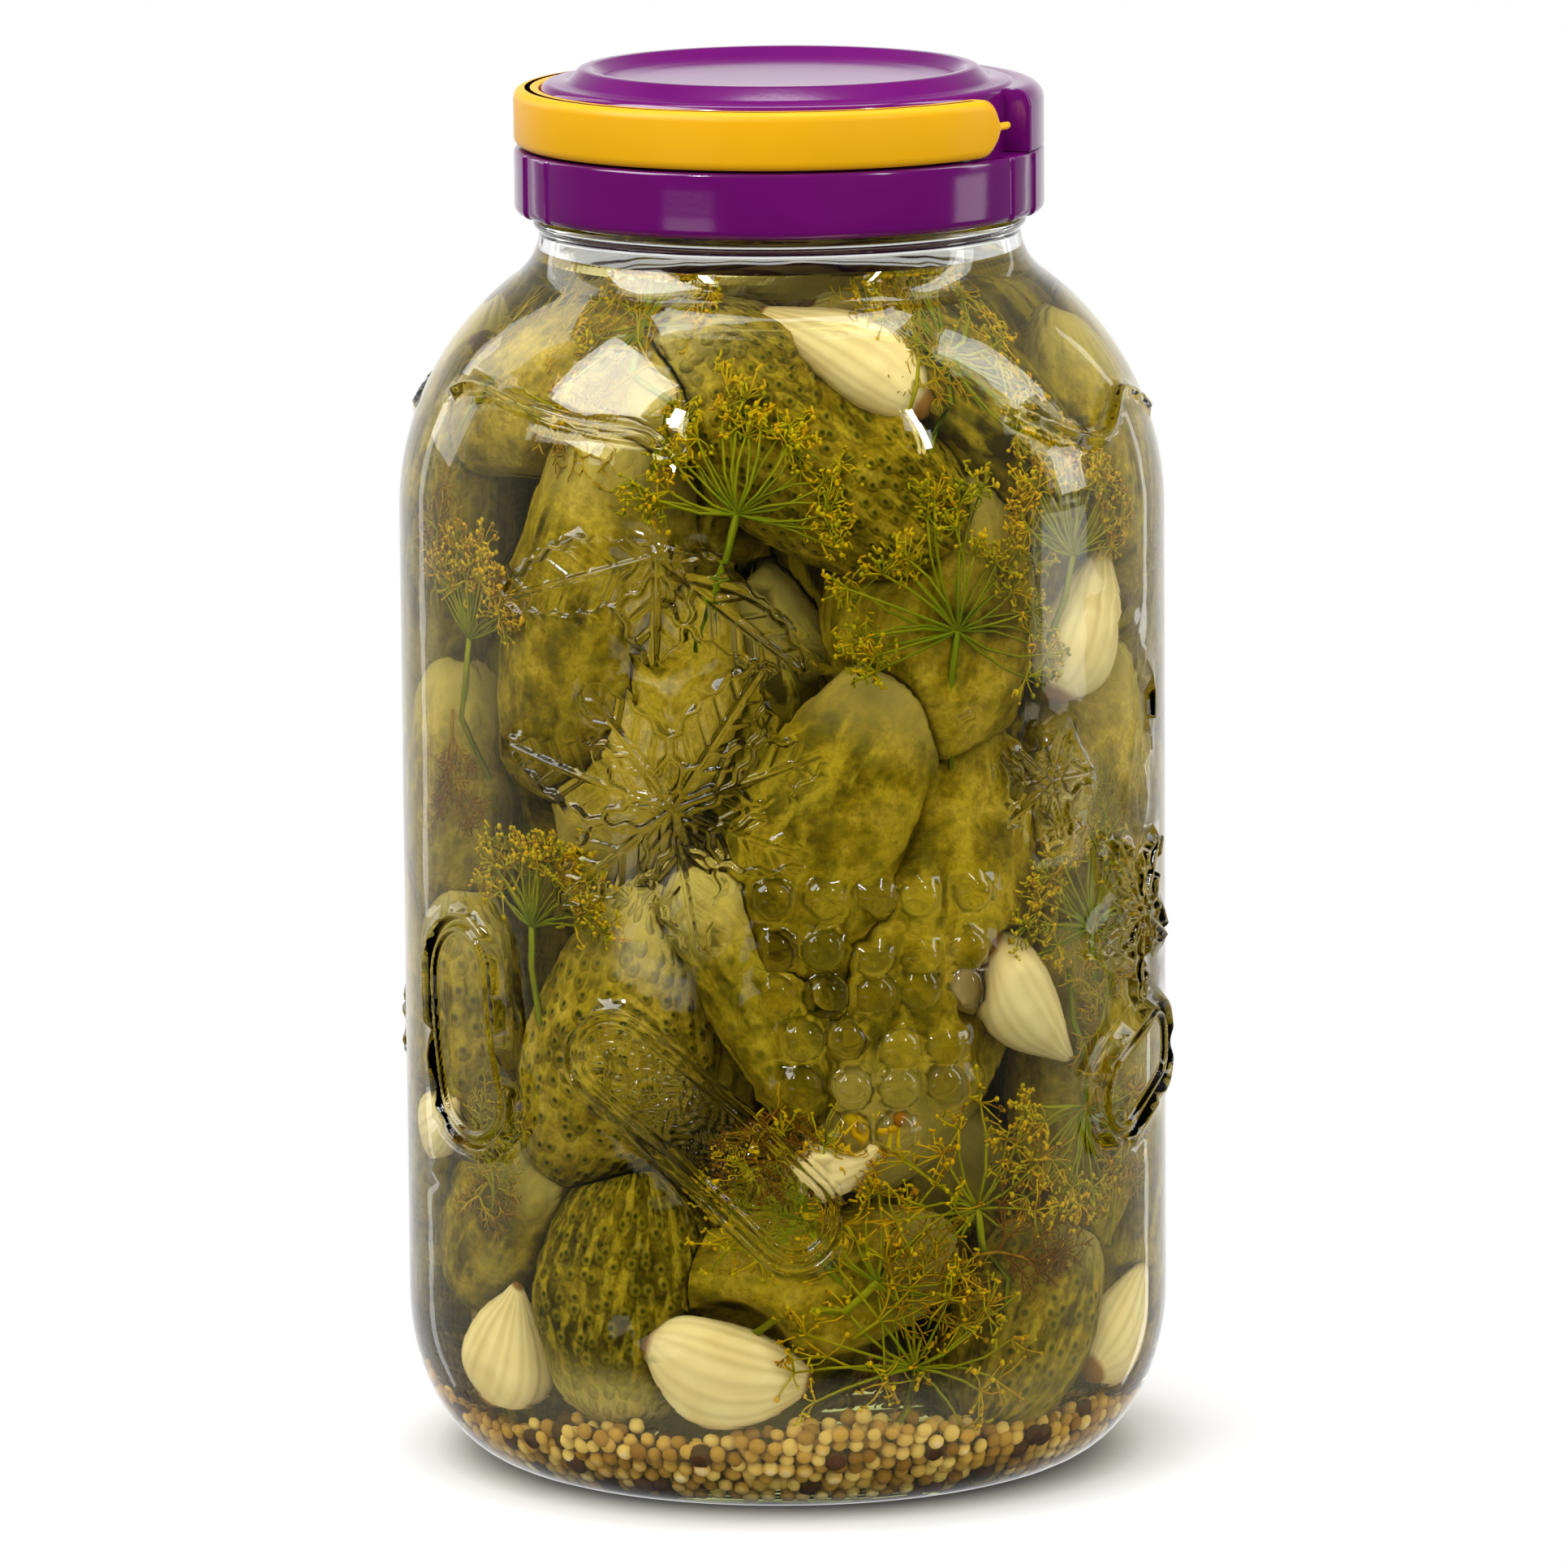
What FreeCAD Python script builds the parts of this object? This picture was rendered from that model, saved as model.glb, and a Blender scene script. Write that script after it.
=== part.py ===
"""A five-litre glass fermentation jar with a plastic screw lid and a folding carrying handle.

Millimetres, +Z up, the origin at the middle of the circle that the jar stands on, the front towards -Y.
An azimuth is counted from the front towards the right (+X), in degrees.

jar_glass    the clear jar: domed floor, round heel, straight body with moulded fruit, shoulder, neck, lugs
brine        the liquid that fills the jar up to the foot of the neck
screw_cap    the lower half of the lid: grip skirt, sealing plate and the lugs that hold on to the neck
lid_cover    the upper half of the lid: raised ring on top, and the fixed half ring that the handle completes
handle       the carrying handle: a half ring that lies round the cover and swings up on its two pins
"""
import FreeCAD, Part
import math
import os

from FreeCAD import Matrix, Vector

# ---- glass jar ----
BODY_RADIUS = 83.0          # outside of the straight wall
BODY_TOP = 208.0            # height where the shoulder begins
FOOT_RADIUS = 59.5          # the ring that the jar stands on
HEEL_HEIGHT = 36.0          # height where the rounded heel ends
WALL = 3.8                  # glass thickness
FLOOR = 5.0                 # thickness of the bottom
PUNT = 3.0                  # rise of the domed bottom at its middle
FOOT_WIDTH = 3.0            # flat ring under the foot
SHOULDER_RADIUS = 63.0      # the shoulder's arc
NECK_RADIUS = 52.0          # outside of the neck
NECK_FILLET = 13.0          # the hollow curve between shoulder and neck
FINISH_HEIGHT = 15.2        # straight neck above that curve, up to the rim
RIM_ROUND = 1.2             # rounding of the rim
BEAD_RADIUS = 1.3           # half-round ring round the neck, under the lid
BEAD_RISE = 1.4             # its middle, above the foot of the neck
FILL_BELOW_NECK = 5.2       # brine level, below the top of the hollow curve

# ---- lugs that hold the lid ----
LUGS = 6                    # glass lugs, and as many plastic ones below them
GLASS_LUG_ARC = 34.0        # degrees
CAP_LUG_ARC = 20.0          # degrees
LUG_HEIGHT = 2.4
LUG_REACH = 1.5             # how far a glass lug stands out of the neck
GLASS_LUG_DROP = 4.6        # from the rim down to the middle of a glass lug
LUG_GAP = 0.3               # play between a glass lug, the plastic lug under it and the walls

# ---- screw cap ----
LID_RADIUS = 57.2           # outside of the lid
SKIRT_HEIGHT = 14.2         # the grip skirt, from its lower edge to the seam with the cover
PLATE = 2.2                 # sealing plate on the rim
SKIRT_WALL = 2.8            # thickness of the skirt behind the smooth panels
PLASTIC = 2.2               # thickness of the other plastic walls
SKIRT_ROUND = 2.0           # rounding of the skirt's lower edge
SHELF_ROUND = 0.8           # rounding of the skirt's upper edge
PANEL_DEPTH = 0.6           # how far the smooth front and back panels lie under the grips
PANEL_HALF_ARC = 64.0       # half the arc of a smooth panel, in degrees
RIB_ARC = 3.0               # narrow rib beside each panel, in degrees
GRIP_HALF_ARC = 16.0        # half the arc of the wide grip at each side, in degrees

# ---- cover ----
COVER_RADIUS = 51.4         # the round wall that the handle lies against
COVER_HEIGHT = 14.0         # from the seam up to the flat flange
COVER_ROUND = 2.0           # rounding of the flange's edge
RING_RISE = 3.0             # the raised ring, above the flange
RING_RADIUS = 41.6          # middle of the ring's crest
RING_CREST = 2.2            # width of the crest
RING_OUTER_SLOPE = 3.2      # width of the slope outside the crest
RING_INNER_SLOPE = 2.0      # width of the slope inside the crest
PANEL_SINK = 1.2            # how far the round middle panel lies under the crest
HALF_RING_ROUND = 3.8       # rounding of the fixed half ring's upper edge
HALF_RING_DROP = 0.4        # its flat top, under the flange

# ---- handle ----
HANDLE_THICK = 4.8          # radially
HANDLE_HEIGHT = 12.4
HANDLE_LIFT = 0.5           # free gap between the skirt's top and the handle
HANDLE_ROUND = 1.3          # rounding of the handle's edges
PIVOT_AZIMUTH = 53.0        # the right-hand pin; the other one is opposite
KNUCKLE_TO_RING = 17.0      # degrees from a pin to the end of the fixed half ring
SKIN = 0.8                  # thickness of the outer skin that ends short of the knuckle
SKIN_SHORT = 1.9            # degrees by which the skin's rounded end stays behind the knuckle's
PIN_RADIUS = 2.4
PIN_PLAY = 0.08             # radial play of a pin in its hole
PIN_REACH = 1.4             # how far a pin stands inside the cover's wall
BOSS_RADIUS = 5.0           # thickening round a pin's hole, inside the cover's wall
NUB_RADIUS = 0.7            # moulding nub on the end of the handle
NUB_CENTRE = 54.9           # its distance from the jar's axis
NUB_REACH = 2.4             # how far the nub stands out of the knuckle
NUB_PLAY = 0.3              # free space round the nub where it swings through the skirt's top
RIB_HALF = 0.6              # half the width of the short rib that runs from the skin towards the nub
RIB_START = 2.2             # the rib's two ends, counted along the handle from the pin
RIB_END = 5.6

# ---- moulded fruit on the glass ----
RELIEF = 1.0                # height of leaves and outlines above the wall
SINK = 1.2                  # how deep a raised form is rooted in the wall
GRAPE_RADIUS = 5.1          # of a grape's round base
GRAPE_RISE = 1.8            # height of a grape
GRAPE_ROW_STEP = 10.0       # from row to row
GRAPE_PITCH = 10.9          # from grape to grape
GRAPE_ROWS = (5, 5, 5, 4, 4, 2)
GRAPE_TOP = 136.0           # height of the top row
GRAPE_AZIMUTH = 13.0        # middle of the bunch
LEAF_AZIMUTH = -14.5
LEAF_HEIGHT = 155.0
LEAFLETS = 7
LEAFLET_LENGTH = 31.0
LEAFLET_WIDTH = 11.0
LEAFLET_ROOT = 0.12         # share of its length where a leaflet starts
LEAF_EYE = 2.4              # radius of the round middle of a leaf
SPRIG_AZIMUTH = -15.0       # the drooping leaf above
SPRIG_HEIGHT = 201.0
SPRIG_LEAFLETS = 3
SPRIG_FAN = 52.0            # degrees between its leaflets
GHERKIN_AZIMUTH = -12.0
GHERKIN_HEIGHT = 86.0
GHERKIN_LENGTH = 74.0
GHERKIN_WIDTH = 25.0
GHERKIN_TILT = -45.0        # degrees from level
PEPPER_AZIMUTH = -57.0
PEPPER_HEIGHT = 101.0
PEPPER_LENGTH = 50.0
PEPPER_WIDTH = 22.0
PEPPER_TILT = -82.0
OUTLINE_WIDTH = 2.6         # of the gherkin's and the pepper's raised outline
PANELS = 2                  # the same fruit on the front and on the back

# ---- worked out ----
INNER_RADIUS = BODY_RADIUS - WALL
SHOULDER_X = BODY_RADIUS - SHOULDER_RADIUS          # centre of the shoulder's arc
FILLET_X = NECK_RADIUS + NECK_FILLET                # centre of the hollow curve
CENTRE_GAP = SHOULDER_RADIUS + NECK_FILLET
NECK_Z = BODY_TOP + math.sqrt(CENTRE_GAP ** 2 - (FILLET_X - SHOULDER_X) ** 2)
RIM_Z = NECK_Z + FINISH_HEIGHT
BRINE_Z = NECK_Z - FILL_BELOW_NECK
SEAM_Z = RIM_Z + PLATE
SKIRT_Z = SEAM_Z - SKIRT_HEIGHT
FLANGE_Z = SEAM_Z + COVER_HEIGHT
CREST_Z = FLANGE_Z + RING_RISE
HANDLE_Z = SEAM_Z + HANDLE_LIFT
PIVOT_Z = HANDLE_Z + HANDLE_HEIGHT / 2
HANDLE_INNER = LID_RADIUS - HANDLE_THICK
SKIRT_INNER = LID_RADIUS - PANEL_DEPTH - SKIRT_WALL
FULL_TURN = 360.0
Z_AXIS = Vector(0, 0, 1)
ORIGIN = Vector(0, 0, 0)


# ---- small helpers ----
def at(radius, height):
    """A point of a profile that is turned about Z."""
    return Vector(radius, 0, height)


def line(a, b):
    return Part.makeLine(a, b)


def arc(centre, radius, start, end):
    """An arc in the profile plane, from one angle above +X to another, in degrees."""
    def point(angle):
        a = math.radians(angle)
        return centre + Vector(radius * math.cos(a), 0, radius * math.sin(a))
    return Part.Arc(point(start), point((start + end) / 2), point(end)).toShape()


def quarter_ellipse(centre, half_width, half_height):
    """The lower outer quarter of an upright ellipse, from its lowest point to its outermost one."""
    lowest = centre + Vector(0, 0, -half_height)
    outermost = centre + Vector(half_width, 0, 0)
    if half_height >= half_width:
        ellipse = Part.Ellipse(lowest, outermost, centre)
    else:
        ellipse = Part.Ellipse(outermost, lowest, centre)
    return Part.ArcOfEllipse(ellipse, 0, math.pi / 2).toShape()


def turned(edges, angle=FULL_TURN):
    """The solid made by turning a closed profile about Z."""
    wire = Part.Wire(Part.__sortEdges__(edges))
    return Part.Face(wire).revolve(ORIGIN, Z_AXIS, angle)


def rounded_box_profile(inner, outer, low, high, rounds):
    """The edges of a rectangle in the profile plane. rounds holds the corner radii in the order
    lower inner, lower outer, upper outer, upper inner; 0 leaves a corner sharp."""
    corners = [
        (inner, low, 1, 1, 180),
        (outer, low, -1, 1, 270),
        (outer, high, -1, -1, 0),
        (inner, high, 1, -1, 90),
    ]
    edges = []
    ends = []
    for (x, z, sx, sz, start), radius in zip(corners, rounds):
        if radius > 0:
            centre = at(x + sx * radius, z + sz * radius)
            edge = arc(centre, radius, start, start + 90)
            edges.append(edge)
            ends.append((edge.Vertexes[0].Point, edge.Vertexes[-1].Point))
        else:
            ends.append((at(x, z), at(x, z)))
    for k in range(len(ends)):
        start, end = ends[k][1], ends[(k + 1) % len(ends)][0]
        edges.append(line(start, end))
    return edges


def sector(inner, outer, low, high, middle, spread, rounds=(0, 0, 0, 0)):
    """A piece of a ring, spread degrees wide, with its middle at an azimuth."""
    piece = turned(rounded_box_profile(inner, outer, low, high, rounds), spread)
    piece.rotate(ORIGIN, Z_AXIS, middle - spread / 2 - 90)
    return piece


def cylinder_out(radius, start, end, azimuth, height):
    """A round bar that points straight out from the jar's axis, between two distances from it."""
    a = math.radians(azimuth)
    out = Vector(math.sin(a), -math.cos(a), 0)
    return Part.makeCylinder(radius, end - start, out * start + Vector(0, 0, height), out)


def ring_shell(inner, outer, low, high):
    bore = Part.makeCylinder(inner, high - low, at(0, low))
    return Part.makeCylinder(outer, high - low, at(0, low)).cut(bore)


def on_wall(shape, azimuth, height):
    """Moves a shape drawn flat (x to the right, y up, z outwards) onto the jar at an azimuth and a height."""
    a = math.radians(azimuth)
    c, s = math.cos(a), math.sin(a)
    return shape.transformed(Matrix(c, 0, s, 0, s, 0, -c, 0, 0, 1, 0, height, 0, 0, 0, 1))


def joined(shapes):
    """One solid from shapes that overlap."""
    return shapes[0].multiFuse(shapes[1:]).removeSplitter().Solids[0]


# ---- glass ----
def inner_edges():
    """The inside of the glass, from the middle of the floor up to the neck."""
    heel_x = FOOT_RADIUS - FOOT_WIDTH
    heel_low = FLOOR
    middle = at(0, FLOOR + PUNT)
    heel = quarter_ellipse(at(heel_x, HEEL_HEIGHT), INNER_RADIUS - heel_x, HEEL_HEIGHT - heel_low)
    floor = Part.Arc(middle, at(heel_x / 2, FLOOR + PUNT * 0.75), at(heel_x, heel_low)).toShape()
    shoulder_centre = at(SHOULDER_X, BODY_TOP)
    fillet_centre = at(FILLET_X, NECK_Z)
    lean = math.degrees(math.atan2(NECK_Z - BODY_TOP, FILLET_X - SHOULDER_X))
    shoulder = arc(shoulder_centre, SHOULDER_RADIUS - WALL, 0, lean)
    fillet = arc(fillet_centre, NECK_FILLET + WALL, 180 + lean, 180)
    wall = line(at(INNER_RADIUS, HEEL_HEIGHT), at(INNER_RADIUS, BODY_TOP))
    return [floor, heel, wall, shoulder, fillet]


def outer_edges():
    """The outside of the glass, from the middle of the domed bottom up to the neck."""
    lean = math.degrees(math.atan2(NECK_Z - BODY_TOP, FILLET_X - SHOULDER_X))
    foot_in = FOOT_RADIUS - FOOT_WIDTH
    return [
        Part.Arc(at(0, PUNT), at(foot_in / 2, PUNT * 0.75), at(foot_in, 0)).toShape(),
        line(at(foot_in, 0), at(FOOT_RADIUS, 0)),
        quarter_ellipse(at(FOOT_RADIUS, HEEL_HEIGHT), BODY_RADIUS - FOOT_RADIUS, HEEL_HEIGHT),
        line(at(BODY_RADIUS, HEEL_HEIGHT), at(BODY_RADIUS, BODY_TOP)),
        arc(at(SHOULDER_X, BODY_TOP), SHOULDER_RADIUS, 0, lean),
        arc(at(FILLET_X, NECK_Z), NECK_FILLET, 180 + lean, 180),
    ]


def plain_jar():
    neck_inner = NECK_RADIUS - WALL
    rim = [
        line(at(NECK_RADIUS, NECK_Z), at(NECK_RADIUS, RIM_Z - RIM_ROUND)),
        arc(at(NECK_RADIUS - RIM_ROUND, RIM_Z - RIM_ROUND), RIM_ROUND, 0, 90),
        line(at(NECK_RADIUS - RIM_ROUND, RIM_Z), at(neck_inner + RIM_ROUND, RIM_Z)),
        arc(at(neck_inner + RIM_ROUND, RIM_Z - RIM_ROUND), RIM_ROUND, 90, 180),
        line(at(neck_inner, RIM_Z - RIM_ROUND), at(neck_inner, NECK_Z)),
    ]
    middle = line(at(0, PUNT), at(0, FLOOR + PUNT))
    return turned(outer_edges() + rim + inner_edges() + [middle])


def glass_lugs():
    low = RIM_Z - GLASS_LUG_DROP - LUG_HEIGHT / 2
    lugs = [
        sector(NECK_RADIUS - WALL / 2, NECK_RADIUS + LUG_REACH, low, low + LUG_HEIGHT,
               k * FULL_TURN / LUGS, GLASS_LUG_ARC, (0, LUG_HEIGHT / 4, LUG_HEIGHT / 4, 0))
        for k in range(LUGS)
    ]
    return lugs + [Part.makeTorus(NECK_RADIUS, BEAD_RADIUS, at(0, NECK_Z + BEAD_RISE), Z_AXIS)]


# ---- fruit on the glass ----
def plate(wire):
    """A flat outline made thick, from inside the wall to well outside it."""
    prism = Part.Face(wire).extrude(Vector(0, 0, BODY_RADIUS))
    prism.translate(Vector(0, 0, BODY_RADIUS / 2))
    return prism


def leaflet(length, width, angle):
    """A pointed leaf with two curved sides, from the middle outwards."""
    tip, root = Vector(length, 0, 0), Vector(length * LEAFLET_ROOT, 0, 0)
    sides = [Part.Arc(root, Vector(length / 2, side * width / 2, 0), tip).toShape() for side in (1, -1)]
    shape = plate(Part.Wire(Part.__sortEdges__(sides)))
    shape.rotate(ORIGIN, Z_AXIS, angle)
    return shape


def fan(leaflets, length, width, first, step):
    eye = Part.makeCylinder(LEAF_EYE, BODY_RADIUS, Vector(0, 0, BODY_RADIUS / 2))
    return [eye] + [leaflet(length, width, first + k * step) for k in range(leaflets)]


def long_outline(length, width, tilt):
    """A long fruit drawn as a raised line: two half circles joined by straight sides."""
    def slot(half):
        reach = (length - width) / 2
        ends = [Part.Arc(Vector(s * reach, -s * half, 0), Vector(s * (reach + half), 0, 0),
                         Vector(s * reach, s * half, 0)).toShape() for s in (1, -1)]
        sides = [line(Vector(-reach, s * half, 0), Vector(reach, s * half, 0)) for s in (1, -1)]
        return plate(Part.Wire(Part.__sortEdges__(ends + sides)))
    ring = slot(width / 2).cut(slot(width / 2 - OUTLINE_WIDTH))
    ring.rotate(ORIGIN, Z_AXIS, tilt)
    return ring


def grapes(first_azimuth):
    """A bunch of round grapes that narrows downwards, each a cap of a sphere."""
    ball = (GRAPE_RADIUS ** 2 + GRAPE_RISE ** 2) / (2 * GRAPE_RISE)
    centre_out = BODY_RADIUS + GRAPE_RISE - ball
    pitch = math.degrees(GRAPE_PITCH / BODY_RADIUS)
    found = []
    for row, count in enumerate(GRAPE_ROWS):
        height = GRAPE_TOP - row * GRAPE_ROW_STEP
        for k in range(count):
            a = math.radians(first_azimuth + (k - (count - 1) / 2) * pitch)
            centre = Vector(centre_out * math.sin(a), -centre_out * math.cos(a), height)
            found.append(Part.makeSphere(ball, centre))
    return found


def fruit(turn):
    """Every raised form of one side of the jar, trimmed to a shallow layer over the wall."""
    leaf = fan(LEAFLETS, LEAFLET_LENGTH, LEAFLET_WIDTH, 90, FULL_TURN / LEAFLETS)
    sprig = fan(SPRIG_LEAFLETS, LEAFLET_LENGTH, LEAFLET_WIDTH, -90 - SPRIG_FAN, SPRIG_FAN)
    flat = [on_wall(s, turn + LEAF_AZIMUTH, LEAF_HEIGHT) for s in leaf]
    flat += [on_wall(s, turn + SPRIG_AZIMUTH, SPRIG_HEIGHT) for s in sprig]
    gherkin = long_outline(GHERKIN_LENGTH, GHERKIN_WIDTH, GHERKIN_TILT)
    flat.append(on_wall(gherkin, turn + GHERKIN_AZIMUTH, GHERKIN_HEIGHT))
    pepper = long_outline(PEPPER_LENGTH, PEPPER_WIDTH, PEPPER_TILT)
    flat.append(on_wall(pepper, turn + PEPPER_AZIMUTH, PEPPER_HEIGHT))
    low_layer = ring_shell(BODY_RADIUS - SINK, BODY_RADIUS + RELIEF, HEEL_HEIGHT, BODY_TOP)
    high_layer = ring_shell(BODY_RADIUS - SINK, BODY_RADIUS + GRAPE_RISE, HEEL_HEIGHT, BODY_TOP)
    return [s.common(low_layer) for s in flat] + [s.common(high_layer) for s in grapes(turn + GRAPE_AZIMUTH)]


def jar_glass():
    raised = [form for k in range(PANELS) for form in fruit(k * FULL_TURN / PANELS)]
    return joined([plain_jar()] + glass_lugs() + raised)


def brine():
    """The liquid fills the glass from the floor up to its level, against the inner wall."""
    fillet_centre = at(FILLET_X, NECK_Z)
    reach = NECK_FILLET + WALL
    drop = math.degrees(math.asin(FILL_BELOW_NECK / reach))
    lean = math.degrees(math.atan2(NECK_Z - BODY_TOP, FILLET_X - SHOULDER_X))
    last = arc(fillet_centre, reach, 180 + lean, 180 + drop)
    surface_x = FILLET_X - reach * math.cos(math.radians(drop))
    edges = inner_edges()[:-1] + [last]
    edges += [line(at(surface_x, BRINE_Z), at(0, BRINE_Z)), line(at(0, BRINE_Z), at(0, FLOOR + PUNT))]
    return turned(edges)


# ---- lid ----
def screw_cap():
    inside = SKIRT_INNER
    outside = LID_RADIUS - PANEL_DEPTH
    shell = turned(rounded_box_profile(0, outside, SKIRT_Z, SEAM_Z, (0, SKIRT_ROUND, SHELF_ROUND, 0)))
    shell = shell.cut(Part.makeCylinder(inside, RIM_Z - SKIRT_Z, at(0, SKIRT_Z)))
    pieces = [shell]
    rounds = (0, SKIRT_ROUND, SHELF_ROUND, 0)
    root = (inside + LID_RADIUS - SKIRT_ROUND) / 2
    for side in (90, 270):
        pieces.append(sector(root, LID_RADIUS, SKIRT_Z, SEAM_Z, side, 2 * GRIP_HALF_ARC, rounds))
        for mirror in (-1, 1):
            rib = side + mirror * (90 - PANEL_HALF_ARC - RIB_ARC / 2)
            pieces.append(sector(root, LID_RADIUS, SKIRT_Z, SEAM_Z, rib, RIB_ARC, rounds))
    lug_top = RIM_Z - GLASS_LUG_DROP - LUG_HEIGHT / 2 - LUG_GAP
    for k in range(LUGS):
        pieces.append(sector(NECK_RADIUS + LUG_GAP, inside + SKIRT_WALL / 2, lug_top - LUG_HEIGHT, lug_top,
                             k * FULL_TURN / LUGS, CAP_LUG_ARC))
    cap = joined(pieces)
    sweep = HANDLE_HEIGHT / 2 + NUB_REACH + NUB_PLAY
    side = NUB_RADIUS + NUB_PLAY
    for azimuth in (PIVOT_AZIMUTH, PIVOT_AZIMUTH + 180):
        cap = cap.cut(cylinder_out(sweep, NUB_CENTRE - side, NUB_CENTRE + side, azimuth, PIVOT_Z))
    return cap.Solids[0]


def cover_profile(thick_below):
    """The edges of the cover's top, seen from the crest down to its flange, or the same line lowered."""
    crest = (RING_RADIUS - RING_CREST / 2, RING_RADIUS + RING_CREST / 2)
    panel_x = crest[0] - RING_INNER_SLOPE
    foot_x = crest[1] + RING_OUTER_SLOPE
    heights = ((0, CREST_Z - PANEL_SINK), (panel_x, CREST_Z - PANEL_SINK), (crest[0], CREST_Z),
               (crest[1], CREST_Z), (foot_x, FLANGE_Z))
    return [at(x, z - thick_below) for x, z in heights]


def lid_cover():
    inner = COVER_RADIUS - PLASTIC
    upper = cover_profile(0)
    under = cover_profile(PLASTIC)
    edge_x = COVER_RADIUS - COVER_ROUND
    outline = upper + [at(edge_x, FLANGE_Z)]
    edges = [line(a, b) for a, b in zip(outline, outline[1:])]
    edges.append(arc(at(edge_x, FLANGE_Z - COVER_ROUND), COVER_ROUND, 90, 0))
    rest = [at(COVER_RADIUS, FLANGE_Z - COVER_ROUND), at(COVER_RADIUS, SEAM_Z), at(inner, SEAM_Z),
            at(inner, FLANGE_Z - PLASTIC)] + under[::-1] + [upper[0]]
    edges += [line(a, b) for a, b in zip(rest, rest[1:])]
    middle = turned(edges)

    first, last = PIVOT_AZIMUTH + KNUCKLE_TO_RING, PIVOT_AZIMUTH + 180 - KNUCKLE_TO_RING
    spread = last - first
    top = FLANGE_Z - HALF_RING_DROP
    ring = sector(COVER_RADIUS - COVER_ROUND, LID_RADIUS, SEAM_Z, top, (first + last) / 2, spread,
                  (0, 0, HALF_RING_ROUND, 0))
    end_wall = math.degrees(PLASTIC / LID_RADIUS)
    hollow = sector(COVER_RADIUS, LID_RADIUS - PLASTIC, SEAM_Z, top - HALF_RING_ROUND, (first + last) / 2,
                    spread - 2 * end_wall)
    pins = (PIVOT_AZIMUTH, PIVOT_AZIMUTH + 180)
    boss_depth = PLASTIC + PIN_REACH
    boss_end = COVER_RADIUS - PLASTIC / 2
    bosses = [cylinder_out(BOSS_RADIUS, inner - PIN_REACH, boss_end, a, PIVOT_Z) for a in pins]
    body = joined([middle, ring] + bosses).cut(hollow)
    for a in pins:
        hole_start = COVER_RADIUS - boss_depth - PLASTIC
        body = body.cut(cylinder_out(PIN_RADIUS + PIN_PLAY, hole_start, LID_RADIUS, a, PIVOT_Z))
    return body.Solids[0]


# ---- handle ----
def band(outer, shorter):
    """Half a turn of flat bar with round ends, each end shorter degrees short of its pin."""
    low, high = HANDLE_Z, HANDLE_Z + HANDLE_HEIGHT
    middle = PIVOT_AZIMUTH - 90
    layer = ring_shell(HANDLE_INNER, outer, low, high)
    pieces = [sector(HANDLE_INNER, outer, low, high, middle, 180 - 2 * shorter)]
    for azimuth in (PIVOT_AZIMUTH - shorter, PIVOT_AZIMUTH - 180 + shorter):
        disc = cylinder_out(HANDLE_HEIGHT / 2, HANDLE_INNER / 2, outer * 2, azimuth, PIVOT_Z)
        pieces.append(disc.common(layer))
    return joined(pieces)


def edges_at(shape, radius):
    """The edges that lie on the cylinder of a radius about the jar's axis."""
    def on(vertex_point):
        return abs(math.hypot(vertex_point.x, vertex_point.y) - radius) < 0.01
    return [e for e in shape.Edges if all(on(p) for p in e.discretize(7))]


def bar_along(azimuth, away, centre_out, radius, start, end):
    """A round bar square to a pin, on the handle's mid height."""
    a = math.radians(azimuth)
    out = Vector(math.sin(a), -math.cos(a), 0)
    along = Vector(math.cos(a), math.sin(a), 0) * away
    foot = out * centre_out + along * start + Vector(0, 0, PIVOT_Z)
    return Part.makeCylinder(radius, end - start, foot, along)


def handle():
    inside = band(LID_RADIUS - SKIN, 0)
    inside = inside.makeFillet(HANDLE_ROUND, edges_at(inside, HANDLE_INNER))
    outside = band(LID_RADIUS, SKIN_SHORT)
    outside = outside.makeFillet(HANDLE_ROUND, edges_at(outside, LID_RADIUS))
    pieces = [inside, outside]
    for azimuth, away in ((PIVOT_AZIMUTH, 1), (PIVOT_AZIMUTH - 180, -1)):
        pin_ends = (COVER_RADIUS - PLASTIC - PIN_REACH, HANDLE_INNER + HANDLE_THICK / 2)
        pieces.append(cylinder_out(PIN_RADIUS, *pin_ends, azimuth, PIVOT_Z))
        pieces.append(bar_along(azimuth, away, NUB_CENTRE, NUB_RADIUS, 0, HANDLE_HEIGHT / 2 + NUB_REACH))
        pieces.append(bar_along(azimuth, away, LID_RADIUS - SKIN, RIB_HALF, RIB_START, RIB_END))
    return joined(pieces)


NODES = {
    "jar_glass": jar_glass,
    "brine": brine,
    "screw_cap": screw_cap,
    "lid_cover": lid_cover,
    "handle": handle,
}

os.makedirs("parts", exist_ok=True)
for name, make in NODES.items():
    shape = make()
    shape.exportStep(f"parts/{name}.step")
    volume = shape.Volume / 1000
    print(f"{name:10} solids {len(shape.Solids)} valid {shape.isValid()} volume {volume:8.2f} cm3")
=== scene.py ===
"""A glass fermentation jar of gherkins, garlic, dill and spice seeds in brine, with its screw lid and handle.

Lengths are in millimetres while a piece is shaped, and become metres when its mesh is made. An azimuth
is counted from the front (-Y) towards the right (+X), in degrees.
"""
import bpy
import math
import random

import numpy as np
from mathutils import Matrix, Vector


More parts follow.
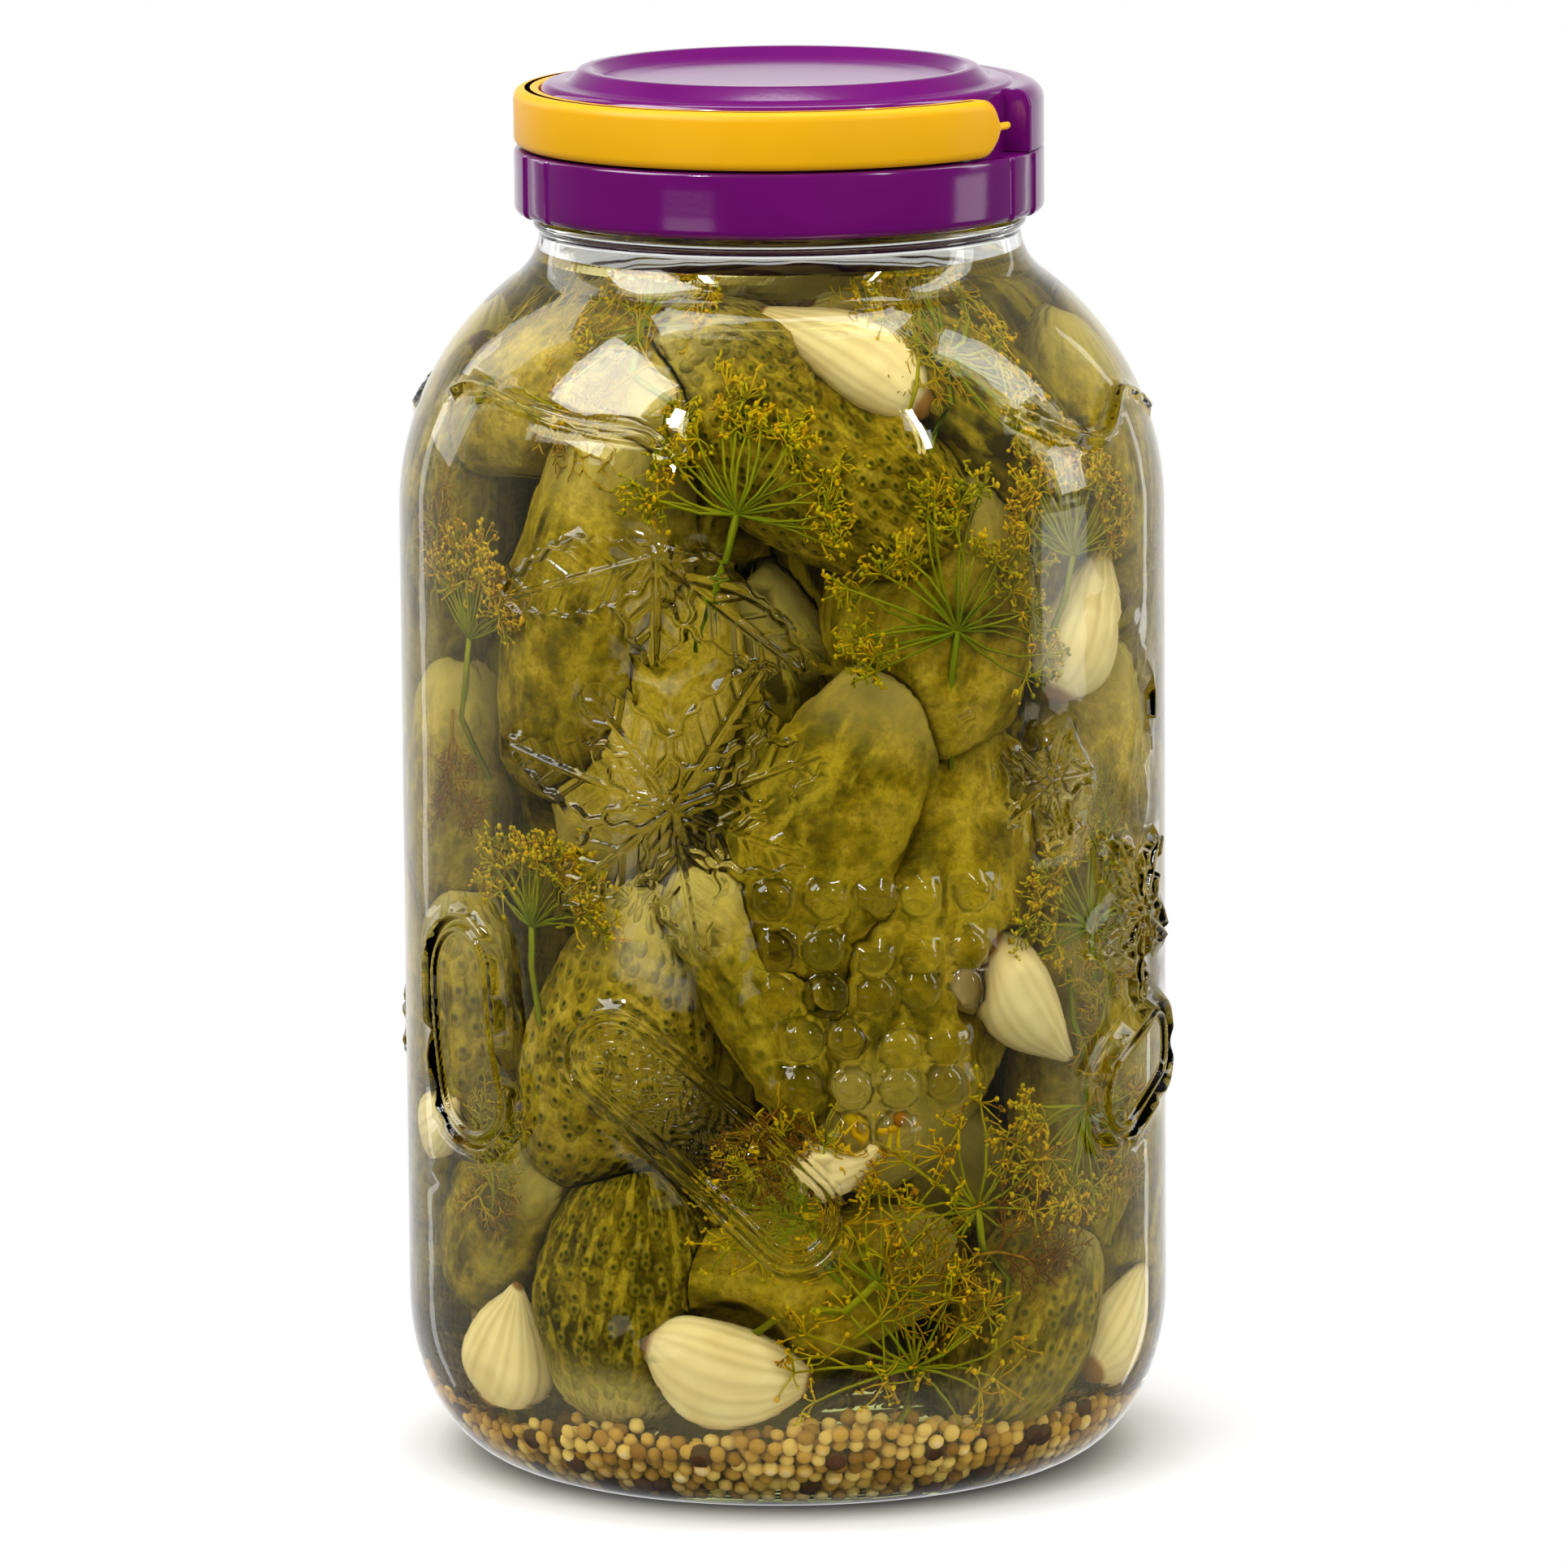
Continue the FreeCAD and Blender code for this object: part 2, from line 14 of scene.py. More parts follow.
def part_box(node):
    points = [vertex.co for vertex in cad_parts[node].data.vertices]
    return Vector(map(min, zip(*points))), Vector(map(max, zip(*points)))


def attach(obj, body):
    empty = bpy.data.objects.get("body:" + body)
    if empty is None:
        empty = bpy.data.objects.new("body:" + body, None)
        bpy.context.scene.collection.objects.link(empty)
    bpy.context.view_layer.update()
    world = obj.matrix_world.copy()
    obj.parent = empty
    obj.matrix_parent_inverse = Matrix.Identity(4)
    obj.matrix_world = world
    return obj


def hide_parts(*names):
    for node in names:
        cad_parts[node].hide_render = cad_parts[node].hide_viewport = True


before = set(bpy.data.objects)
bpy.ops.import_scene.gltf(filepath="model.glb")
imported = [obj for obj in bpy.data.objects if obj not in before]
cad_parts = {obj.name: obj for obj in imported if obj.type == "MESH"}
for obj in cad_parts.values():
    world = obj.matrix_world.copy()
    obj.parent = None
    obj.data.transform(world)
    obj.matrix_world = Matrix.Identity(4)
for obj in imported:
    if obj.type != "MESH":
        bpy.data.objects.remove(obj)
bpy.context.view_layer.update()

MM = 0.001
TAU = 2 * math.pi


def corners(solid):
    """The lowest and highest corner of a solid, in millimetres."""
    return [Vector(corner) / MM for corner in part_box(solid)]


# ---- sizes read from the frame ----
GLASS_HIGH = corners("jar_glass")[1]
CAP_LOW, CAP_HIGH = corners("screw_cap")
COVER_HIGH = corners("lid_cover")[1]
HANDLE_LOW, HANDLE_HIGH = corners("handle")
BRINE_LOW, BRINE_HIGH = corners("brine")

# ---- glass ----
BODY_RADIUS = GLASS_HIGH.x
WALL = BODY_RADIUS - BRINE_HIGH.x
RIM_Z = GLASS_HIGH.z
BRINE_Z = BRINE_HIGH.z
FLOOR = BRINE_LOW.z
FOOT_RADIUS = 59.5
FOOT_WIDTH = 3.0
HEEL_HEIGHT = 36.0
BODY_TOP = 208.0
SHOULDER_RADIUS = 63.0
NECK_RADIUS = 52.0
NECK_FILLET = 13.0
PUNT = 3.0
BEAD = 1.3                  # half-round ring on the neck
BEAD_RISE = 1.4
RIM_ROUND = 1.2
SHOULDER_X = BODY_RADIUS - SHOULDER_RADIUS
FILLET_X = NECK_RADIUS + NECK_FILLET
NECK_Z = BODY_TOP + math.sqrt((SHOULDER_RADIUS + NECK_FILLET) ** 2 - (FILLET_X - SHOULDER_X) ** 2)
LEAN = math.atan2(NECK_Z - BODY_TOP, FILLET_X - SHOULDER_X)

# ---- lid and handle ----
SEAM_Z = CAP_HIGH.z
SKIRT_Z = CAP_LOW.z
LID_RADIUS = 57.2
COVER_RADIUS = 51.4
CREST_Z = COVER_HIGH.z
RING_RISE = 3.0
FLANGE_Z = CREST_Z - RING_RISE
PIVOT = 53.0                # azimuth of the right-hand pin
PIVOT_Z = (HANDLE_LOW.z + HANDLE_HIGH.z) / 2
HANDLE_HALF = (HANDLE_HIGH.z - HANDLE_LOW.z) / 2
HANDLE_THICK = 4.8
PIN_OUT = 50.6              # how far from the jar's axis the middle of a pin lies
NUB_OUT = 54.9              # the same for the nub beside each knuckle
NUB_ROOM = 2.7              # how far beyond the knuckle the skirt is cut away for the nub
SKIRT_WALL = 3.4
PLATE_Z = SEAM_Z - 2.2      # underside of the sealing plate

# ---- what lies in the brine ----
WRAP_RADIUS = 79.0          # what is drawn flat is wrapped round the wall at this radius
PACK_TOP = BRINE_Z - 2.5    # nothing solid comes higher
HEAP_TOP = 24               # no seed lies higher
LENGTH, WIDTH = 3, 4        # where these stand in a gherkin's row


# ---------------------------------------------------------------- meshes
def clear_selection():
    if bpy.context.mode != "OBJECT":
        bpy.ops.object.mode_set(mode="OBJECT")
    bpy.ops.object.select_all(action="DESELECT")


def only(piece):
    clear_selection()
    piece.select_set(True)
    bpy.context.view_layer.objects.active = piece


def mesh_piece(name, points, faces):
    """An object made of points in millimetres."""
    mesh = bpy.data.meshes.new(name)
    mesh.from_pydata((np.asarray(points) * MM).tolist(), [], faces)
    mesh.update()
    piece = bpy.data.objects.new(name, mesh)
    bpy.context.scene.collection.objects.link(piece)
    mesh.shade_smooth()
    return piece


def points_of(piece):
    flat = np.empty(len(piece.data.vertices) * 3)
    piece.data.vertices.foreach_get("co", flat)
    return flat.reshape(-1, 3) / MM


def set_points(piece, points):
    piece.data.vertices.foreach_set("co", (points * MM).ravel())
    piece.data.update()


def attributes(piece, **named):
    """Stores one number per vertex under each name for the piece's material to read."""
    for name, values in named.items():
        layer = piece.data.attributes.new(name, "FLOAT", "POINT")
        layer.data.foreach_set("value", np.full(len(layer.data), values, dtype=np.float32))


def apply_modifiers(piece):
    only(piece)
    for modifier in list(piece.modifiers):
        bpy.ops.object.modifier_apply(modifier=modifier.name)


def bevel(piece, width, segments):
    """Rounds the piece's sharp edges."""
    soft = piece.modifiers.new("soft edges", "BEVEL")
    soft.width = width * MM
    soft.segments = segments
    soft.angle_limit = math.radians(60)
    apply_modifiers(piece)


def shade_by_angle(piece):
    only(piece)
    bpy.ops.object.shade_smooth_by_angle(angle=math.radians(35))
    return piece


def edit(piece, action="SELECT"):
    """Opens the piece for mesh operators, with all of it selected or nothing."""
    only(piece)
    bpy.ops.object.mode_set(mode="EDIT")
    bpy.ops.mesh.select_all(action=action)


def outward(piece):
    """Welds points that coincide and turns all faces outwards."""
    edit(piece)
    bpy.ops.mesh.remove_doubles(threshold=0.00001)
    bpy.ops.mesh.normals_make_consistent(inside=False)
    bpy.ops.object.mode_set(mode="OBJECT")


def facing(azimuth):
    """The level direction away from the jar's axis at an azimuth in degrees."""
    a = math.radians(azimuth)
    return math.sin(a), -math.cos(a), 0


def polar(points):
    """Angle from the front and distance from the jar's axis of each point."""
    return np.arctan2(points[:, 0], -points[:, 1]), np.hypot(points[:, 0], points[:, 1])


def from_polar(angle, radius, z):
    return np.stack([radius * np.sin(angle), -radius * np.cos(angle), z], axis=1)


def spun(name, profile, steps, start=0.0, sweep=360.0):
    """Spins a profile of (radius, height) about the jar's axis. A part turn starts at an azimuth."""
    x, y, _ = facing(start)
    piece = mesh_piece(name, [(r * x, r * y, z) for r, z in profile], [])
    mesh = piece.data
    mesh.edges.add(len(profile) - 1)
    mesh.edges.foreach_set("vertices", [i + d for i in range(len(profile) - 1) for d in (0, 1)])
    mesh.update()
    edit(piece)
    bpy.ops.mesh.spin(steps=steps, angle=-math.radians(sweep), center=(0, 0, 0), axis=(0, 0, 1))
    bpy.ops.object.mode_set(mode="OBJECT")
    outward(piece)
    return piece


def finish_piece(piece, material, body="jar", replaces=()):
    """Gives a piece its material and the body it moves with."""
    piece.data.materials.clear()
    piece.data.materials.append(material)
    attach(piece, body)
    if replaces:
        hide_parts(*replaces)
    return piece


def smoothstep(low, high, x):
    t = np.clip((x - low) / (high - low), 0, 1)
    return t * t * (3 - 2 * t)


# ---------------------------------------------------------------- the jar's outline
def arc_points(x, z, radius, start, end, count):
    angles = np.radians(np.linspace(start, end, count))
    return [(x + radius * math.cos(a), z + radius * math.sin(a)) for a in angles]


def heel_points(foot, low, reach, count):
    """The quarter ellipse from the foot up to the straight wall."""
    rise = HEEL_HEIGHT - low
    angles = np.linspace(-math.pi / 2, 0, count)
    return [(foot + reach * math.cos(a), HEEL_HEIGHT + rise * math.sin(a)) for a in angles]


def dished(low, radii):
    """A bottom that rises to the middle, at the given radii: (radius, height) rows."""
    return [(r, low + PUNT * (1 - (r / (FOOT_RADIUS - FOOT_WIDTH)) ** 2)) for r in radii]


def wall_radius(z, inset=WALL):
    """Radius of the jar's wall at a height, inset from the outside."""
    z = np.asarray(z, dtype=float)
    foot = FOOT_RADIUS - (FOOT_WIDTH if inset > 0 else 0)
    low = FLOOR if inset > 0 else 0.0
    t = np.clip((HEEL_HEIGHT - z) / (HEEL_HEIGHT - low), 0, 1)
    heel = foot + (BODY_RADIUS - inset - foot) * np.sqrt(1 - t * t)
    shoulder = SHOULDER_X + np.sqrt(np.maximum((SHOULDER_RADIUS - inset) ** 2 - (z - BODY_TOP) ** 2, 0))
    fillet = FILLET_X - np.sqrt(np.maximum((NECK_FILLET + inset) ** 2 - (NECK_Z - z) ** 2, 0))
    join = BODY_TOP + (SHOULDER_RADIUS - inset) * math.sin(LEAN)
    radius = np.where(z < BODY_TOP, heel, np.where(z < join, shoulder, fillet))
    return np.where(z >= NECK_Z, NECK_RADIUS - inset, radius)


# ---------------------------------------------------------------- moulded fruit
PANEL = math.pi * BODY_RADIUS       # the pattern comes twice round the jar
GRAPE_ROWS = (5, 5, 5, 4, 4, 2)
MOULD_LOW, MOULD_HIGH = 25, 252     # fruit stands between these heights
TOOTH = 6.0                         # length of a leaf's tooth, and the distance of its veins
STEEP = 4.0                         # the slope at which the painted shade on the moulded fruit's sides is darkest
FINENESS = ((2, 0.8, True), (2, 0.1, False))    # cuts, how far round the fruit, and whether the back too


def to_segment(u, z, a, b):
    """Distance from points to a segment."""
    du, dz = b[0] - a[0], b[1] - a[1]
    t = np.clip(((u - a[0]) * du + (z - a[1]) * dz) / (du * du + dz * dz), 0, 1)
    return np.hypot(u - a[0] - t * du, z - a[1] - t * dz)


def turned(u, z, centre, angle):
    """Places along and across a form that lies at an angle round its centre."""
    a = math.radians(angle)
    return ((u - centre[0]) * math.cos(a) + (z - centre[1]) * math.sin(a),
            -(u - centre[0]) * math.sin(a) + (z - centre[1]) * math.cos(a))


def ridge(distance, half_width, height):
    """A raised line with a round back."""
    return height * np.clip(1 - (distance / half_width) ** 2, 0, 1)


def vine(u, z, route, half_width=1.3, height=1.5):
    """A raised line through a few points, rounded by a smooth curve through them."""
    route = np.array(route, dtype=float)
    t = np.linspace(0, len(route) - 1, 6 * (len(route) - 1) + 1)
    path = []
    for s in t:
        i = min(int(s), len(route) - 2)
        p = [route[min(max(i + k, 0), len(route) - 1)] for k in (-1, 0, 1, 2)]
        f = s - i
        path.append(0.5 * (2 * p[1] + (p[2] - p[0]) * f + (2 * p[0] - 5 * p[1] + 4 * p[2] - p[3]) * f ** 2
                           + (3 * p[1] - p[0] - 3 * p[2] + p[3]) * f ** 3))
    nearest = np.full(u.shape, 1e9)
    for a, b in zip(path, path[1:]):
        nearest = np.minimum(nearest, to_segment(u, z, a, b))
    return ridge(nearest, half_width, height)


def leaflet(u, z, root, angle, length, width):
    """A toothed leaf with a raised edge, a midrib and side veins."""
    x, y = turned(u, z, root, angle)
    x = x / length
    t = np.clip(x, 0.001, 0.999)
    teeth = 0.6 - 0.6 * np.cos(TAU * t * length / TOOTH)
    half = 0.9 + width / 2 * np.sin(math.pi * t ** 0.80) ** 0.7 * (1 - 0.12 * t) - teeth
    inside = (x > 0.03) & (x < 1)
    edge = ridge(np.abs(y) - half, 0.95, 1.9)
    body = 0.50 * smoothstep(0.3, -0.7, np.abs(y) - half)
    midrib = ridge(y, 1.0, 1.8)
    fold = (t * length - 0.9 * np.abs(y)) % TOOTH
    veins = ridge(fold - TOOTH / 2, 0.9, 0.65) * (np.abs(y) < half - 1.2)
    return np.where(inside, np.maximum.reduce([edge, body + veins, midrib]), 0)


def leaf(u, z, centre, leaflets, width):
    """Several leaflets that start from one point, each given by its angle and length."""
    forms = [leaflet(u, z, centre, angle, length, width) for angle, length in leaflets]
    forms.append(ridge(np.hypot(u - centre[0], z - centre[1]), 2.6, 1.7))
    return np.maximum.reduce(forms)


def long_fruit(u, z, centre, length, width, tilt, curve, pits):
    """A long fruit: two raised outlines, one inside the other, round a pitted middle."""
    x, y = turned(u, z, centre, tilt)
    y = y + curve * (x / length) ** 2 * 4
    reach = (length - width) / 2
    distance = np.hypot(np.maximum(np.abs(x) - reach, 0), y) - width / 2
    outline = np.maximum(ridge(distance + 1.3, 1.35, 2.4), ridge(distance + 4.6, 1.0, 1.6))
    rough = np.sin(x * 1.9 + 2.0 * np.sin(y * 0.9)) * np.sin(y * 2.1 + 1.7 * np.sin(x * 0.8))
    middle = (0.6 + pits * rough) * smoothstep(-5.2, -6.6, distance)
    return np.maximum.reduce([outline, middle, 0.3 * smoothstep(0, -2, distance)])


def grapes(u, z):
    """Round grapes in rows that grow shorter downwards."""
    found = np.zeros(u.shape)
    radius, rise, step, pitch = 4.9, 4.1, 10.1, 10.8
    middle, top = 18.8, 136.0
    ball = (radius ** 2 + rise ** 2) / (2 * rise)
    rng = random.Random(5)
    for row, count in enumerate(GRAPE_ROWS):
        for k in range(count):
            cu = middle + (k - (count - 1) / 2) * pitch + rng.uniform(-0.8, 0.8)
            cz = top - row * step - (2.5 if row % 2 and k > 1 else 0) + rng.uniform(-0.6, 0.6)
            d2 = (u - cu) ** 2 + (z - cz) ** 2
            found = np.maximum(found, np.sqrt(np.maximum(ball ** 2 - d2, 0)) - (ball - rise))
    return found


def relief(u, z):
    """Height of the moulded fruit above the wall, for a place along the wall and a height."""
    u = (u + PANEL / 2) % PANEL - PANEL / 2
    big = ((58, 37), (21, 36), (340, 31), (279, 32), (219, 36), (165, 42), (127, 34))
    forms = [
        leaf(u, z, (-23.5, 155.4), big, 16.0),
        leaf(u, z, (-26.5, 209.0), ((197, 42), (268, 24), (322, 40)), 16.0),
        leaf(u, z, (61.0, 157.5), ((70, 15), (140, 14), (215, 15), (290, 15), (0, 14)), 7.0),
        leaf(u, z, (96.0, 124.0), ((55, 20), (125, 21), (195, 20), (265, 20), (335, 20)), 9.0),
        long_fruit(u, z, (-17.2, 85.6), 76, 25, -40, 3.0, 0.45),
        long_fruit(u, z, (-82.0, 101.0), 54, 30, -80, -4.0, 0.0),
        long_fruit(u, z, (97.0, 90.0), 44, 24, 20, 3.0, 0.0),
        grapes(u, z),
        vine(u, z, ((-100, 236), (-87, 240), (-51, 235.5), (-28, 232.7), (-22, 220), (-22.9, 207))),
        vine(u, z, ((-23, 205), (-5, 200), (8, 186))),
        vine(u, z, ((18, 143), (30, 165), (42, 174), (62, 174), (75, 150), (60, 143))),
        vine(u, z, ((-63, 52.4), (-41, 39.4), (-20.5, 36))),
        vine(u, z, ((-100, 72), (-90, 68), (-78, 70.5))),
        vine(u, z, ((60, 236), (84, 228), (104, 236), (124, 230))),
        vine(u, z, ((78, 200), (92, 186), (104, 170), (98, 148), (96, 128))),
    ]
    return np.maximum.reduce(forms)


# ---------------------------------------------------------------- glass and brine
def spaced(low, high, step):
    return list(np.linspace(low, high, max(2, round((high - low) / step) + 1)))


def glass_rows():
    """Outside of the glass from the middle of the bottom up to the rim: (radius, height) rows."""
    foot_in = FOOT_RADIUS - FOOT_WIDTH
    rows = dished(0, (0, 14, 28, 40, 49))
    rows += [(foot_in - 1.2, 0.35), (foot_in, 0.0), (FOOT_RADIUS, 0.0)]
    rows += heel_points(FOOT_RADIUS, 0, BODY_RADIUS - FOOT_RADIUS, 19)[1:]
    rows += [(BODY_RADIUS, z) for z in spaced(HEEL_HEIGHT, BODY_TOP, 3.3)[1:]]
    rows += arc_points(SHOULDER_X, BODY_TOP, SHOULDER_RADIUS, 0, math.degrees(LEAN), 28)[1:]
    rows += arc_points(FILLET_X, NECK_Z, NECK_FILLET, 180 + math.degrees(LEAN), 180, 9)[1:]
    bead = arc_points(NECK_RADIUS, NECK_Z + BEAD_RISE, BEAD, -80, 80, 7)
    rows += bead + [(NECK_RADIUS, z) for z in (NECK_Z + 4, RIM_Z - 6)]
    rows += arc_points(NECK_RADIUS - RIM_ROUND, RIM_Z - RIM_ROUND, RIM_ROUND, 0, 90, 5)
    return rows


def inner_rows(grow=0.0):
    """Inside of the glass from the neck down to the middle of the floor."""
    inner = BODY_RADIUS - WALL + grow
    foot_in = FOOT_RADIUS - FOOT_WIDTH
    rows = arc_points(FILLET_X, NECK_Z, NECK_FILLET + WALL - grow, 180, 180 + math.degrees(LEAN), 9)
    rows += arc_points(SHOULDER_X, BODY_TOP, SHOULDER_RADIUS - WALL + grow, math.degrees(LEAN), 0, 16)[1:]
    rows += [(inner, z) for z in spaced(HEEL_HEIGHT, BODY_TOP, 12)[-2::-1]]
    rows += heel_points(foot_in, FLOOR - grow, inner - foot_in, 14)[-2::-1]
    return rows + dished(FLOOR - grow, (50, 40, 28, 14))


def ring_faces(first, second, count):
    """Quads between two rings of vertices."""
    return [(first + k, first + (k + 1) % count, second + (k + 1) % count, second + k)
            for k in range(count)]


def moulded(piece):
    """For the jar's points: radius, whether fruit can stand there, place along the wall, and height."""
    points = points_of(piece)
    angle, radius = polar(points)
    z = points[:, 2]
    outside = (radius > wall_radius(z, 0) - 1) & (z > MOULD_LOW) & (z < MOULD_HIGH)
    return radius, outside, angle * BODY_RADIUS, z


def divide(piece, chosen, cuts):
    """Subdivides the chosen faces."""
    edit(piece)
    bpy.ops.mesh.select_mode(type="FACE")
    bpy.ops.mesh.select_all(action="DESELECT")
    bpy.ops.object.mode_set(mode="OBJECT")
    piece.data.polygons.foreach_set("select", chosen)
    bpy.ops.object.mode_set(mode="EDIT")
    bpy.ops.mesh.subdivide(number_cuts=cuts)
    bpy.ops.mesh.select_mode(type="VERT")
    bpy.ops.object.mode_set(mode="OBJECT")


def glass_jar():
    """One closed shell, divided more finely where fruit is moulded on its outside."""
    rim = arc_points(NECK_RADIUS - WALL + RIM_ROUND, RIM_Z - RIM_ROUND, RIM_ROUND, 90, 180, 4)
    inside = rim + [(NECK_RADIUS - WALL, RIM_Z - 8)] + inner_rows() + [(0, FLOOR + PUNT)]
    piece = spun("glass_jar", glass_rows() + inside, 138)
    for cuts, reach, back_too in FINENESS:
        _, outside, u, z = moulded(piece)
        near = np.zeros(len(u))
        for du in (-reach, 0, reach):
            for dz in (-reach, 0, reach):
                near = np.maximum(near, relief(u + du, z + dz))
        fine = (near > 0.02) & outside & (back_too | (np.abs(u) < PANEL / 2))
        chosen = [all(fine[v] for v in face.vertices) for face in piece.data.polygons]
        divide(piece, chosen, cuts)
    radius, outside, u, z = moulded(piece)
    height = relief(u, z) * outside
    rise = np.clip((z - BODY_TOP) / SHOULDER_RADIUS, 0, 1)
    radius = np.where(outside, wall_radius(z, 0), radius) + height * np.sqrt(1 - rise * rise)
    # painted shade: how steep the moulded fruit is at each point is stored for the glass's material, which
    # darkens the glass there; full on the front half, half as much at the back
    step = 0.25
    across, upwards = relief(u + step, z) - relief(u - step, z), relief(u, z + step) - relief(u, z - step)
    slope = np.clip(np.hypot(across, upwards) / (2 * step), 0, STEEP) / STEEP
    attributes(piece, slope=slope * outside * np.where(np.abs(u) < PANEL / 2, 1.0, 0.5))
    set_points(piece, from_polar(u / BODY_RADIUS, radius, z + height * rise))
    piece.data.shade_smooth()
    return piece


def brine_fill():
    """The brine reaches 0.3 mm into the glass, and its surface climbs a little at the wall."""
    grow = 0.3
    level = BRINE_Z - 0.8
    rows = [(r, z) for r, z in inner_rows(grow) if z < BRINE_Z]
    edge = float(wall_radius(BRINE_Z)) + grow
    top = [(0, level), (6, level), (edge - 4, level), (edge - 1.5, BRINE_Z - 0.5), (edge, BRINE_Z)]
    profile = top + rows + [(0, FLOOR - grow + PUNT)]
    return spun("brine_fill", profile, 160)


# ---------------------------------------------------------------- what lies in the brine
UMBELS = (
    # azimuth, height, direction of the rays, ray length, spread, brownness
    (-7, 217, 10, 24, 100, 0.25),
    (28, 191, 0, 27, 118, 0.15),
    (51, 204, 8, 22, 80, 0.5),
    (-57, 186, 10, 20, 60, 0.55),
    (-43, 126, 15, 20, 70, 0.35),
    (20, 33, 10, 27, 120, 0.45),
    (14, 52, 60, 24, 110, 0.6),
    (3, 66, -40, 19, 80, 0.3),
    (31, 66, -20, 22, 130, 0.6),
    (56, 122, 0, 22, 100, 0.3),
    (54, 84, 180, 24, 100, 0.4),
    (33, 246, 30, 22, 120, 0.35),
    (-30, 252, -30, 22, 120, 0.5),
    (110, 180, 0, 25, 110, 0.4),
    (160, 120, 20, 25, 110, 0.6),
    (200, 200, 0, 26, 110, 0.3),
    (235, 90, 0, 25, 120, 0.7),
    (140, 60, 10, 25, 110, 0.5),
)
GARLIC = (
    # azimuth, height, tilt of its length, length, width, lobes
    (16, 252, 138, 36, 21, 2),
    (59, 187, 62, 34, 24, 3),
    (42, 108, -52, 34, 22, 2),
    (-54, 30, 62, 27, 25, 4),
    (-11, 30, -14, 34, 26, 1),
    (8, 77, 15, 20, 15, 2),
    (70, 31, 40, 28, 22, 3),
    (-72, 77, 30, 22, 17, 2),
    (120, 235, 30, 32, 22, 3),
    (180, 60, 10, 34, 24, 2),
    (215, 150, -60, 32, 22, 3),
)
GHERKINS = (
    # azimuth, height, tilt, length, width, bend, tone, warts, depth
    (4, 238, -40, 84, 40, 4, 0.48, 230, 0),
    (-47, 247, 8, 74, 34, -5, 0.75, 40, 0),
    (-37, 196, 78, 86, 37, 5, 0.55, 20, 0),
    (-26, 168, 70, 70, 32, 3, 0.85, 10, 8),
    (30, 190, 82, 74, 44, 2, 0.60, 12, 1),
    (9, 150, 68, 84, 37, -4, 0.50, 30, 0),
    (28, 120, 76, 110, 44, 5, 0.55, 14, 0),
    (68, 150, 84, 70, 34, 0, 0.75, 14, 0),
    (-33, 101, 68, 74, 38, 4, 0.68, 170, 0),
    (-3, 112, -66, 66, 26, -3, 0.45, 70, 0),
    (-72, 100, 86, 62, 30, 2, 0.50, 110, 0),
    (-78, 148, 80, 64, 32, 0, 0.62, 40, 0),
    (-32, 47, 84, 58, 40, 0, 0.22, 210, 0),
    (6, 50, 6, 58, 33, 3, 0.55, 14, 1),
    (49, 38, 60, 50, 34, 0, 0.38, 130, 0),
    (40, 243, -50, 70, 36, 2, 0.15, 60, 1),
    (72, 214, 70, 72, 36, 3, 0.45, 60, 0),
    (66, 90, 88, 84, 34, 2, 0.55, 40, 0),
    (-84, 206, 80, 72, 36, 3, 0.35, 80, 0),
    (-60, 58, 50, 52, 30, 0, 0.4, 60, 2),
    (88, 50, 70, 70, 36, 2, 0.45, 60, 0),
    (100, 112, 84, 90, 38, 2, 0.5, 60, 0),
    (104, 200, 80, 86, 38, 3, 0.6, 40, 0),
    (132, 70, 70, 90, 40, 3, 0.4, 90, 0),
    (136, 160, 86, 96, 40, -3, 0.6, 30, 0),
    (150, 236, 20, 84, 38, -4, 0.5, 90, 0),
    (168, 110, 80, 100, 42, 3, 0.5, 50, 0),
    (176, 190, 76, 84, 40, -3, 0.35, 120, 0),
    (196, 45, 20, 76, 36, -3, 0.5, 60, 0),
    (206, 118, 84, 96, 40, 3, 0.65, 30, 0),
    (216, 196, 70, 90, 40, 3, 0.45, 90, 0),
    (238, 60, 80, 80, 38, 3, 0.4, 90, 0),
    (242, 140, 84, 92, 40, -2, 0.55, 40, 0),
    (232, 244, 10, 74, 36, -4, 0.4, 90, 0),
    (262, 90, 84, 84, 36, 2, 0.5, 60, 0),
    (256, 210, 76, 80, 38, 3, 0.6, 40, 0),
)


def core_gherkins():
    """Gherkins deeper in, so that no gap between the outer ones shows through the jar."""
    rng = random.Random(9)
    found = []
    for level, height in enumerate((50, 108, 166, 222)):
        for k in range(5):
            found.append((k * 72 + level * 36 + rng.uniform(-10, 10), height + rng.uniform(-6, 6),
                          rng.uniform(60, 120), 80, 42, 3, rng.uniform(0.05, 0.3), 0, 22))
        found.append((0, height + 8, 85, 70, 46, 0, 0.1, 0, 54))
    return found


def fittings():
    """What presses against the wall and the gherkins make room for: azimuth, height, size and depth."""
    found = [(a, z + 0.45 * size * math.cos(math.radians(turn)), size * 1.05, 5.0)
             for a, z, turn, size, _, _ in UMBELS]
    found += [(a, z, length * 0.55, width * 0.72) for a, z, _, length, width, _ in GARLIC]
    return found


ROOM = fittings()


def clearance(points):
    """How far from the wall a gherkin stays at each point."""
    angles, _ = polar(points)
    gap = np.full(len(points), 0.7)
    for azimuth, height, size, depth in ROOM:
        turn = (angles - math.radians(azimuth) + math.pi) % TAU - math.pi
        away = np.hypot(turn * WRAP_RADIUS, points[:, 2] - height) / size
        gap = np.maximum(gap, depth * smoothstep(1.15, 0.75, away))
    return gap


def pressed(points, gap, top=PACK_TOP):
    """Points too near the wall are pushed back to the gap from it, and none stays higher than the top."""
    points = points.copy()
    points[:, 2] = np.minimum(points[:, 2], top)
    _, radius = polar(points)
    limit = wall_radius(points[:, 2]) - gap
    points[:, :2] *= np.minimum(1, limit / np.maximum(radius, 0.001))[:, None]
    return points


